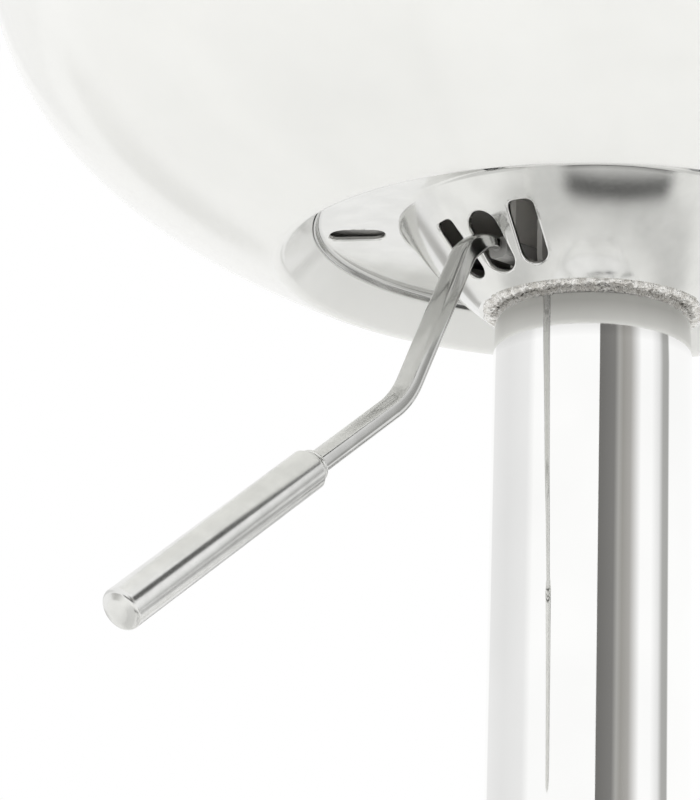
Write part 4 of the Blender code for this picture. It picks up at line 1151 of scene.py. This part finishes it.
@dataclass
class FootRest:
    """Bent tube loop in front of the column on a collar with two set screws."""

    height: float = 0.222
    bar: float = 0.011
    wall: float = 0.0015
    bar_points: int = 40
    collar_bore: float = 0.0303
    collar_radius: float = 0.0353
    collar_height: float = 0.036
    collar_edge: float = 0.0012
    half_width: float = 0.104
    reach: float = 0.167
    root_depth: float = 0.004
    shoulder_back: float = 0.006
    bends: tuple[float, float, float] = (0.020, 0.045, 0.050)
    shares: tuple[float, float, float] = (0.62, 0.42, 0.86)
    cut_reach: float = 0.04
    screw_radius: float = 0.003
    screw_edge: float = 0.0003
    screw_sunk: float = 0.0002
    hole_reach: float = 1.5
    screw_turns: tuple[float, float] = (math.radians(60), math.radians(120))
    socket_share: float = 0.52
    socket_depth: float = 0.0022

    def centre_line(self) -> Ring:
        """Centre line of the loop, seen from above."""
        root = self.collar_radius + GAP - self.root_depth
        shoulder, side, front = self.shares
        half = [
            (root, -self.root_depth), (self.half_width * shoulder, -self.shoulder_back, self.bends[0]),
            (self.half_width, -self.reach * side, self.bends[1]),
            (self.half_width * front, -self.reach, self.bends[2]),
        ]
        return rounded(half + [(-c[0], *c[1:]) for c in half[::-1]], 16)

    def loop(self) -> bpy.types.Object:
        """Bends the loop from tube and fits its ends to the collar."""
        line = self.centre_line()
        rings = []
        for radius, points, flip in ((self.bar, line, 1), (self.bar - self.wall, line[::-1], -1)):
            for i, point in enumerate(points):
                along = heading(points, i)
                if i in (0, len(points) - 1):
                    along = Vector((math.copysign(1, along.x), 0))
                side = Vector((-along.y, along.x))
                ring = []
                for k in range(self.bar_points):
                    angle = math.tau * k / self.bar_points
                    flat = point + side * flip * radius * math.cos(angle)
                    ring.append(Vector((flat.x, flat.y, self.height + radius * math.sin(angle))))
                rings.append(ring)
        loop = skinned("foot_bar_loop", rings, True)
        far = self.collar_radius + GAP
        low, high = self.height - self.cut_reach, self.height + self.cut_reach
        keep_out = [Vector(p) for p in ((0, low), (far, low), (far, high), (0, high))]
        cut(loop, turned("foot_bar_root_cut", keep_out, 120))
        return loop

    def square_in(self, turn: float) -> Matrix:
        """Placement square to the collar's face, at an angle round the column."""
        lie = Matrix.Translation((self.collar_radius, 0, self.height)) @ Matrix.Rotation(QUARTER_TURN, 4, "Y")
        return Matrix.Rotation(turn, 4, "Z") @ lie

    def drilled(self, name: str, radius: float, depth: float, turn: float, sides: int) -> bpy.types.Object:
        """Cutter that comes in square to the collar.

        Args:
            name: Name of the cutter.
            radius: Its radius.
            depth: How deep it reaches below the collar's face.
            turn: Angle round the column.
            sides: Number of its sides.

        Returns:
            The cutter.
        """
        start_fresh()
        bpy.ops.mesh.primitive_cylinder_add(vertices=sides, radius=radius, depth=2 * depth)
        cutter = bpy.context.object
        cutter.name = name
        put(cutter, self.square_in(turn))
        return cutter

    def build(self) -> None:
        """Makes loop, collar and screws."""
        place(self.loop(), Body.CARRIAGE, Slot.CHROME, TUBE_CHROME, "footrest_loop")
        low = self.height - self.collar_height / 2
        section = ring_section(
            self.collar_bore, self.collar_radius, low, low + self.collar_height, self.collar_edge)
        collar = turned("foot_bar_collar", section, 128)
        thick = self.collar_radius - self.collar_bore
        shank = [
            (0, -thick + GAP), (self.screw_radius, -thick + GAP),
            (self.screw_radius, -self.screw_sunk - self.screw_edge),
            (self.screw_radius - self.screw_edge, -self.screw_sunk), (0, -self.screw_sunk),
        ]
        for i, turn in enumerate(self.screw_turns):
            hole = self.screw_radius + GAP
            cut(collar, self.drilled("set_screw_hole_cut", hole, thick * self.hole_reach, turn, 40))
            screw = turned(f"foot_bar_set_screw_{i + 1}", [Vector(p) for p in shank], 40)
            put(screw, self.square_in(turn))
            socket = self.screw_radius * self.socket_share
            cut(screw, self.drilled("hex_socket_cut", socket, self.socket_depth, turn, 6))
            place(screw, Body.CARRIAGE, Slot.ZINC_STEEL, ZINC_STEEL, f"footrest_screw_{i + 1}")
        place(collar, Body.CARRIAGE, Slot.CHROME, TUBE_CHROME, "footrest_collar")


@dataclass
class Base:
    """Spun trumpet over its ballast, with floor ring, pillar and neck collar."""

    radius: float = 0.190
    sheet: float = 0.0016
    skirt_low: float = 0.0043
    shoulder: float = 0.0162
    shoulder_width: float = 0.012
    shoulder_rise: float = 0.0002
    edge_round: float = 0.004
    flare_handles: tuple[float, float, float, float] = (0.53, 0.006, 0.011, 0.014)
    throat: float = 0.0269
    height: float = 0.082
    ring_inner: float = 0.170
    ring_height: float = 0.004
    ring_edge: float = 0.0009
    pillar_radius: float = 0.025
    pillar_wall: float = 0.002
    pillar_low: float = 0.0209
    pillar_high: float = 0.500
    fine_edge: float = 0.0004
    neck_height: float = 0.007
    neck_wall: float = 0.004
    neck_rounds: tuple[float, float] = (0.0028, 0.0008)
    neck_shares: tuple[float, float] = (0.55, 0.35)

    def trumpet_section(self) -> Ring:
        """Closed section of the trumpet's sheet: skirt, rounded shoulder and flare up to the throat."""
        top = (self.radius - self.shoulder_width, self.shoulder + self.shoulder_rise)
        skirt = rounded(
            [(self.radius, self.skirt_low), (self.radius, self.shoulder, self.edge_round), top], 8)
        out, low, throat_out, throat_low = self.flare_handles
        flare = bezier(
            top, (self.radius * out, self.shoulder + low),
            (self.throat + throat_out, self.shoulder + throat_low), (self.throat, self.height), 48)
        path = skirt[:-1] + flare
        return path + beside(path, self.sheet)[::-1]

    def neck_section(self) -> Ring:
        """Closed section of the trim collar where the pillar leaves the trumpet."""
        low = self.height + GAP
        high = low + self.neck_height
        bore = self.pillar_radius + GAP
        outer = self.pillar_radius + self.neck_wall
        side, top = self.neck_shares
        return rounded([
            (bore, low), (outer, low, self.fine_edge),
            (outer, low + self.neck_height * side, self.neck_rounds[0]),
            (self.pillar_radius + self.neck_wall * top, high, self.neck_rounds[1]), (bore, high),
        ], 6)

    def build(self) -> None:
        """Makes the pieces that show."""
        trumpet = turned("base_trumpet_spinning", self.trumpet_section(), 192)
        place(trumpet, Body.BASE, Slot.CHROME, TUBE_CHROME, "base_trumpet")
        foot = ring_section(self.ring_inner, self.radius, 0.0, self.ring_height, self.ring_edge)
        place(turned("floor_rubber_ring", foot, 160), Body.BASE, Slot.RUBBER, BLACK_RUBBER, "floor_ring")
        bore = self.pillar_radius - self.pillar_wall
        tube = ring_section(bore, self.pillar_radius, self.pillar_low, self.pillar_high, self.fine_edge)
        place(turned("pillar_inner_tube", tube, 128), Body.BASE, Slot.CHROME, TUBE_CHROME, "pillar_tube")
        collar = turned("neck_trim_collar", self.neck_section(), 128)
        place(collar, Body.BASE, Slot.CHROME, TUBE_CHROME, "neck_collar")


@dataclass
class SeatScrews:
    """Pan-head screws with a cross recess that hold flange, plate and seat together."""

    count: int = 4
    head: float = 0.0056
    head_height: float = 0.0033
    head_edge: float = 0.0004
    head_round: float = 0.003
    head_shares: tuple[float, float] = (0.35, 0.72)
    cross: tuple[float, float, float] = (1.05, 0.0011, 0.0040)
    seat_rise: float = 0.0292
    shank: float = 0.0028
    shank_length: float = 0.010
    first_turn: float = 0.4
    next_turn: float = 1.1

    def model(self) -> bpy.types.Object:
        """Models one screw, with its seat at the origin and its shank up."""
        side, crown = self.head_shares
        dome = rounded([
            (0, self.shank_length), (self.shank, self.shank_length), (self.shank, 0), (self.head, 0),
            (self.head, -self.head_height * side, self.head_edge),
            (self.head * crown, -self.head_height, self.head_round), (0, -self.head_height),
        ], 6)
        model = turned("seat_screw_model", dome, 48)
        share, width, depth = self.cross
        for turn in (0.0, QUARTER_TURN):
            start_fresh()
            bpy.ops.mesh.primitive_cube_add(size=1)
            blade = bpy.context.object
            size = Matrix.Diagonal((self.head * share, width, depth, 1))
            put(blade, Matrix.Translation((0, 0, -self.head_height)) @ Matrix.Rotation(turn, 4, "Z") @ size)
            cut(model, blade)
        return model

    def build(self) -> None:
        """Copies the screw to its four places."""
        model = self.model()
        for i in range(self.count):
            node = f"seat_screw_{i + 1}"
            low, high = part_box(node)
            screw = copied(model, f"flange_screw_{i + 1}")
            middle = (low + high) / 2
            turn = Matrix.Rotation(self.first_turn + self.next_turn * i, 4, "Z")
            put(screw, Matrix.Translation((middle.x, middle.y, WELD_Z + self.seat_rise)) @ turn)
            place(screw, Body.CARRIAGE, Slot.ZINC_STEEL, ZINC_STEEL, node)
        bpy.data.objects.remove(model)


@dataclass
class InnerWorks:
    """CAD nodes that stay: each gets the finish of its slot, or a finish of its own."""

    # The plate's grey and its pale middle are painted light.
    own: tuple[tuple[str, Finish], ...] = (("seat_plate", PLATE_PAINTED_LIGHT),)

    def dress(self) -> None:
        """Gives every node its finish, and reports those that still show."""
        slots = {row["node"]: row["material_slot"] for row in frame["record"]["subparts"]}
        for name, node in frame["nodes"].items():
            finish = dict(self.own).get(name) or FINISH_OF_SLOT[Slot(slots[name])]
            node.data.materials.clear()
            node.data.materials.append(finish.material())
            if not node.hide_render:
                log.info("%s: kept, %s", name, finish.name)


@dataclass(frozen=True)
class Card:
    """A standing card that only gloss shows, with its colours from left to right."""

    name: str
    colours: tuple[tuple[float, str], ...]
    left: float
    right: float
    low: float
    high: float
    distance: float = 1.5
    middle: tuple[float, float] = (0.0, 0.0)


@dataclass(frozen=True)
class Mat:
    """An arc on the floor with soft edges that only gloss shows. Its ends fade over soft degrees."""

    name: str
    colour: str
    left: float
    right: float
    inner: float
    outer: float
    edge: float
    middle: tuple[float, float] = (0.0, 0.0)
    rise: float = 0.001
    soft: float = 0.0


@dataclass(frozen=True)
class Lamp:
    """A soft square lamp."""

    name: str
    at: tuple[float, float, float]
    aim: tuple[float, float, float]
    size: float
    watts: float


BESIDE_LEVER = (-0.097, -0.119)  # middle of the cards that the lever's grip mirrors


@dataclass
class Studio:
    """Camera, white surround, floor, soft lamps, and the cards and mats that chrome mirrors.

    Cards and mats are placed by angles in degrees, from the front towards the right.
    """

    yaw: float = math.radians(-4.43)
    pitch: float = math.radians(15.59)
    roll: float = math.radians(1.89)
    focal_pixels: float = 3241.0
    image_height: int = 800
    sensor: float = 36.0
    clip: tuple[float, float] = (0.01, 100.0)
    eye: tuple[float, float, float] = (0.0, -0.94068, 0.255483)
    white: str = "#FFFFFF"
    floor_colour: str = "#F6F6F4"
    floor_size: float = 14.0
    floor_fade: tuple[float, float] = (0.6, 2.6)
    ambient: float = 1.05
    cards: tuple[Card, ...] = (
        Card("left_pale", ((0.0, "#EDEDED"), (0.5, "#E6E6E6"), (0.85, "#ECECEC"), (1.0, "#FFFFFF")),
             -150.0, -68.0, 0.58, 1.4),
        Card("right_dark", ((0.0, "#706F6D"), (0.36, "#7E7D7B"), (0.46, "#AAA9A6"), (0.55, "#9C9A96"),
                            (0.72, "#ABA9A6"), (1.0, "#FFFFFF")), 8.5, 58.0, 0.58, 1.4),
        Card("right_strip", ((0.0, "#FFFFFF"), (0.40, "#E6E6E6"), (0.62, "#ACACAA"), (0.92, "#A8A8A6"),
                             (1.0, "#F4F4F4")), 70.2, 96.6, 0.40, 0.70, 0.40),
        Card("behind_camera", ((0.0, "#555555"), (1.0, "#555555")), -36.0, 24.0, 0.24, 0.52, 1.05),
        Card("over_right", ((0.0, "#4A4A49"), (1.0, "#4A4A49")), 55.0, 100.0, 0.97, 1.50, 1.0, BESIDE_LEVER),
        Card("back_right_low", ((0.0, "#FFFFFF"), (0.3, "#A8A8A7"), (0.7, "#A8A8A7"), (1.0, "#FFFFFF")),
             104.0, 132.0, 0.20, 0.40, 1.2, BESIDE_LEVER),
        Card("back_low", ((0.0, "#8A8A89"), (1.0, "#8A8A89")), 150.0, 176.0, 0.30, 0.40, 1.2, BESIDE_LEVER),
    )
    mats: tuple[Mat, ...] = (
        Mat("front_arc", "#060606", -7.0, 26.2, 1.312, 1.420, 0.040, (-0.075, 0.933), 0.002, 5.5),
        # A grey ring that only gloss shows: a painted shadow of the stool round its base.
        Mat("painted_shadow_round_the_base", "#DCDCDA", -179.9, 179.9, 0.195, 0.70, 0.2),
        Mat("right_side", "#B4B3B1", 62.0, 104.0, 0.9, 4.5, 0.5, soft=10.0),
        Mat("left_side", "#C2C1BF", -88.0, -48.0, 0.9, 4.5, 0.5, soft=10.0),
        Mat("back_side", "#BDBCBA", 196.0, 232.0, 1.6, 4.5, 0.7, soft=10.0),
    )
    mat_steps: int = 32
    lamps: tuple[Lamp, ...] = (
        Lamp("key_lamp", (-1.6, -1.6, 1.9), (0, 0, 0.5), 1.4, 3.0),
        Lamp("right_low_lamp", (0.9, -1.0, 0.25), (0, 0, 0.57), 0.9, 0.6),
    )

    def camera(self) -> None:
        """Sets the camera at the photograph's viewing angle."""
        bpy.ops.object.camera_add()
        camera = bpy.context.object
        camera.name = "photo_camera"
        ahead = Vector((math.sin(self.yaw) * math.cos(self.pitch), math.cos(self.yaw) * math.cos(self.pitch),
                        math.sin(self.pitch)))
        side = Vector((math.cos(self.yaw), -math.sin(self.yaw), 0))
        up = side.cross(ahead)
        level = side * math.cos(self.roll) + up * math.sin(self.roll)
        upright = up * math.cos(self.roll) - side * math.sin(self.roll)
        pose = Matrix((level, upright, -ahead)).transposed().to_4x4()
        pose.translation = Vector(self.eye)
        camera.matrix_world = pose
        camera.data.sensor_width = self.sensor
        camera.data.lens = self.focal_pixels / self.image_height * self.sensor
        camera.data.clip_start, camera.data.clip_end = self.clip
        bpy.context.scene.camera = camera

    def surround(self) -> None:
        """White all round for the eye and for gloss, a little more for soft light."""
        world = bpy.data.worlds.new("white_surround")
        bpy.context.scene.world = world
        tree = fresh_tree(world)
        strength = add_node(
            tree, "ShaderNodeMapRange", {"Value": self.seen(tree), "To Min": self.ambient, "To Max": 1.0})
        light = add_node(tree, "ShaderNodeBackground", {
            "Color": linear(self.white), "Strength": strength.outputs["Result"]})
        add_node(tree, "ShaderNodeOutputWorld", {"Surface": light.outputs["Background"]})

    def seen(self, tree: bpy.types.NodeTree) -> bpy.types.NodeSocket:
        """Whether a ray comes from the eye, from gloss or through glass.

        Args:
            tree: Node tree that gets the test.

        Returns:
            A socket that is 1 for such a ray.
        """
        path = add_node(tree, "ShaderNodeLightPath")
        most = path.outputs["Is Camera Ray"]
        for kind in ("Is Glossy Ray", "Is Transmission Ray"):
            most = add_node(
                tree, "ShaderNodeMath", {0: most, 1: path.outputs[kind]}, operation="MAXIMUM").outputs[0]
        return most

    def floor(self) -> None:
        """Pale floor that keeps the shadow near the object and fades to white far away."""
        start_fresh()
        bpy.ops.mesh.primitive_plane_add(size=self.floor_size)
        floor = bpy.context.object
        floor.name = "pale_floor"
        made = bpy.data.materials.new("pale_matt_floor")
        tree = fresh_tree(made)
        add = partial(add_node, tree)
        spots = add("ShaderNodeTexCoord").outputs["Object"]
        far = add("ShaderNodeVectorMath", {0: spots}, operation="LENGTH")
        start, stop = self.floor_fade
        fade = add(
            "ShaderNodeMapRange", {"Value": far.outputs["Value"], "From Min": start, "From Max": stop},
            interpolation_type="SMOOTHSTEP")
        share = add("ShaderNodeMath", {0: fade.outputs["Result"], 1: self.seen(tree)}, operation="MULTIPLY")
        matt = add("ShaderNodeBsdfDiffuse", {"Color": linear(self.floor_colour)})
        bright = add("ShaderNodeEmission", {"Color": linear(self.white), "Strength": 1.0})
        mixed = add("ShaderNodeMixShader", {0: share.outputs[0], 1: matt.outputs[0], 2: bright.outputs[0]})
        add("ShaderNodeOutputMaterial", {"Surface": mixed.outputs[0]})
        floor.data.materials.append(made)

    def card(self, card: Card) -> None:
        """Stands one card up."""
        start_fresh()
        middle = math.radians((card.left + card.right) / 2)
        width = 2 * card.distance * math.tan(math.radians((card.right - card.left) / 2))
        bpy.ops.mesh.primitive_plane_add(size=1)
        sheet = bpy.context.object
        sheet.name = f"card_{card.name}"
        size = Matrix.Diagonal((width, card.high - card.low, 1, 1))
        stand = Matrix.Rotation(middle, 4, "Z") @ Matrix.Rotation(QUARTER_TURN, 4, "X")
        at = Vector((math.sin(middle), -math.cos(middle), 0)) * card.distance
        at += Vector((*card.middle, (card.low + card.high) / 2))
        put(sheet, Matrix.Translation(at) @ stand @ size)
        made = bpy.data.materials.new(sheet.name)
        add = partial(add_node, fresh_tree(made))
        across = add("ShaderNodeSeparateXYZ", {"Vector": add("ShaderNodeTexCoord").outputs["UV"]})
        ramp = add("ShaderNodeValToRGB", {"Fac": across.outputs["X"]})
        stops = ramp.color_ramp.elements
        for stop, (share, colour) in zip((stops[0], stops[-1]), (card.colours[0], card.colours[-1])):
            stop.position, stop.color = share, linear(colour)
        for share, colour in card.colours[1:-1]:
            stops.new(share).color = linear(colour)
        paper = add("ShaderNodeEmission", {"Color": ramp.outputs["Color"], "Strength": 1.0})
        add("ShaderNodeOutputMaterial", {"Surface": paper.outputs["Emission"]})
        self.gloss_only(sheet, made)

    def mat(self, mat: Mat) -> None:
        """Lays one mat down."""
        first = math.radians(mat.left)
        out = Vector((math.sin(first), -math.cos(first), 0))
        sheet = start_point(f"mat_{mat.name}", out * mat.inner + Vector((*mat.middle, mat.rise)))
        bpy.ops.mesh.extrude_vertices_move(TRANSFORM_OT_translate={"value": out * (mat.outer - mat.inner)})
        bpy.ops.mesh.select_all(action="SELECT")
        sweep = math.radians(mat.left - mat.right)
        bpy.ops.mesh.spin(steps=self.mat_steps, angle=sweep, center=(*mat.middle, 0.0), axis=(0, 0, 1))
        bpy.ops.object.mode_set(mode="OBJECT")
        made = bpy.data.materials.new(sheet.name)
        add = partial(add_node, fresh_tree(made))
        spots = add(
            "ShaderNodeVectorMath",
            {0: add("ShaderNodeTexCoord").outputs["Object"], 1: (*mat.middle, mat.rise)},
            operation="SUBTRACT",
        ).outputs["Vector"]
        away = add("ShaderNodeVectorMath", {0: spots}, operation="LENGTH").outputs["Value"]
        ends = [(away, mat.inner, mat.inner + mat.edge), (away, mat.outer, mat.outer - mat.edge)]
        if mat.soft:
            turn = add("ShaderNodeTexGradient", {"Vector": spots}, gradient_type="RADIAL").outputs["Fac"]
            first, last, soft = (mat.left + 90) / 360, (mat.right + 90) / 360, mat.soft / 360
            ends += [(turn, first, first + soft), (turn, last, last - soft)]
        share = 1.0
        for value, start, stop in ends:
            part = add(
                "ShaderNodeMapRange", {"Value": value, "From Min": start, "From Max": stop},
                interpolation_type="SMOOTHSTEP")
            share = add(
                "ShaderNodeMath", {0: part.outputs["Result"], 1: share}, operation="MULTIPLY").outputs[0]
        clear = add("ShaderNodeBsdfTransparent")
        paper = add("ShaderNodeEmission", {"Color": linear(mat.colour), "Strength": 1.0})
        mixed = add("ShaderNodeMixShader", {0: share, 1: clear.outputs[0], 2: paper.outputs[0]})
        add("ShaderNodeOutputMaterial", {"Surface": mixed.outputs[0]})
        self.gloss_only(sheet, made)

    def gloss_only(self, sheet: bpy.types.Object, material: bpy.types.Material) -> None:
        """Dresses a card or mat and hides it from all but gloss.

        Args:
            sheet: The card or mat.
            material: What it is made of.
        """
        sheet.data.materials.append(material)
        sheet.visible_camera = False
        sheet.visible_diffuse = False
        sheet.visible_shadow = False
        sheet.visible_transmission = False

    def lamp(self, lamp: Lamp) -> None:
        """Hangs one lamp, which only shines and isn't seen."""
        start_fresh()
        bpy.ops.object.light_add(type="AREA", location=lamp.at)
        made = bpy.context.object
        made.name = lamp.name
        made.rotation_euler = (Vector(lamp.aim) - Vector(lamp.at)).to_track_quat("-Z", "Y").to_euler()
        made.data.shape = "SQUARE"
        made.data.size = lamp.size
        made.data.energy = lamp.watts
        made.visible_camera = False
        made.visible_glossy = False

    def build(self) -> None:
        """Sets up the studio."""
        self.camera()
        self.surround()
        self.floor()
        for card in self.cards:
            self.card(card)
        for mat in self.mats:
            self.mat(mat)
        for lamp in self.lamps:
            self.lamp(lamp)
        bpy.context.scene.view_settings.view_transform = "Standard"


def main() -> None:
    """Builds the stool's pieces in order, dresses them and sets up the studio."""
    logging.basicConfig(level=logging.INFO, format="%(name)s %(message)s")
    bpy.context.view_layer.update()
    for part in (Seat(), Bell(), Weld(), ColumnTube(), HeightLever(), FootRest(), Base(), SeatScrews()):
        part.build()
    InnerWorks().dress()
    Studio().build()


if __name__ == "__main__":
    main()
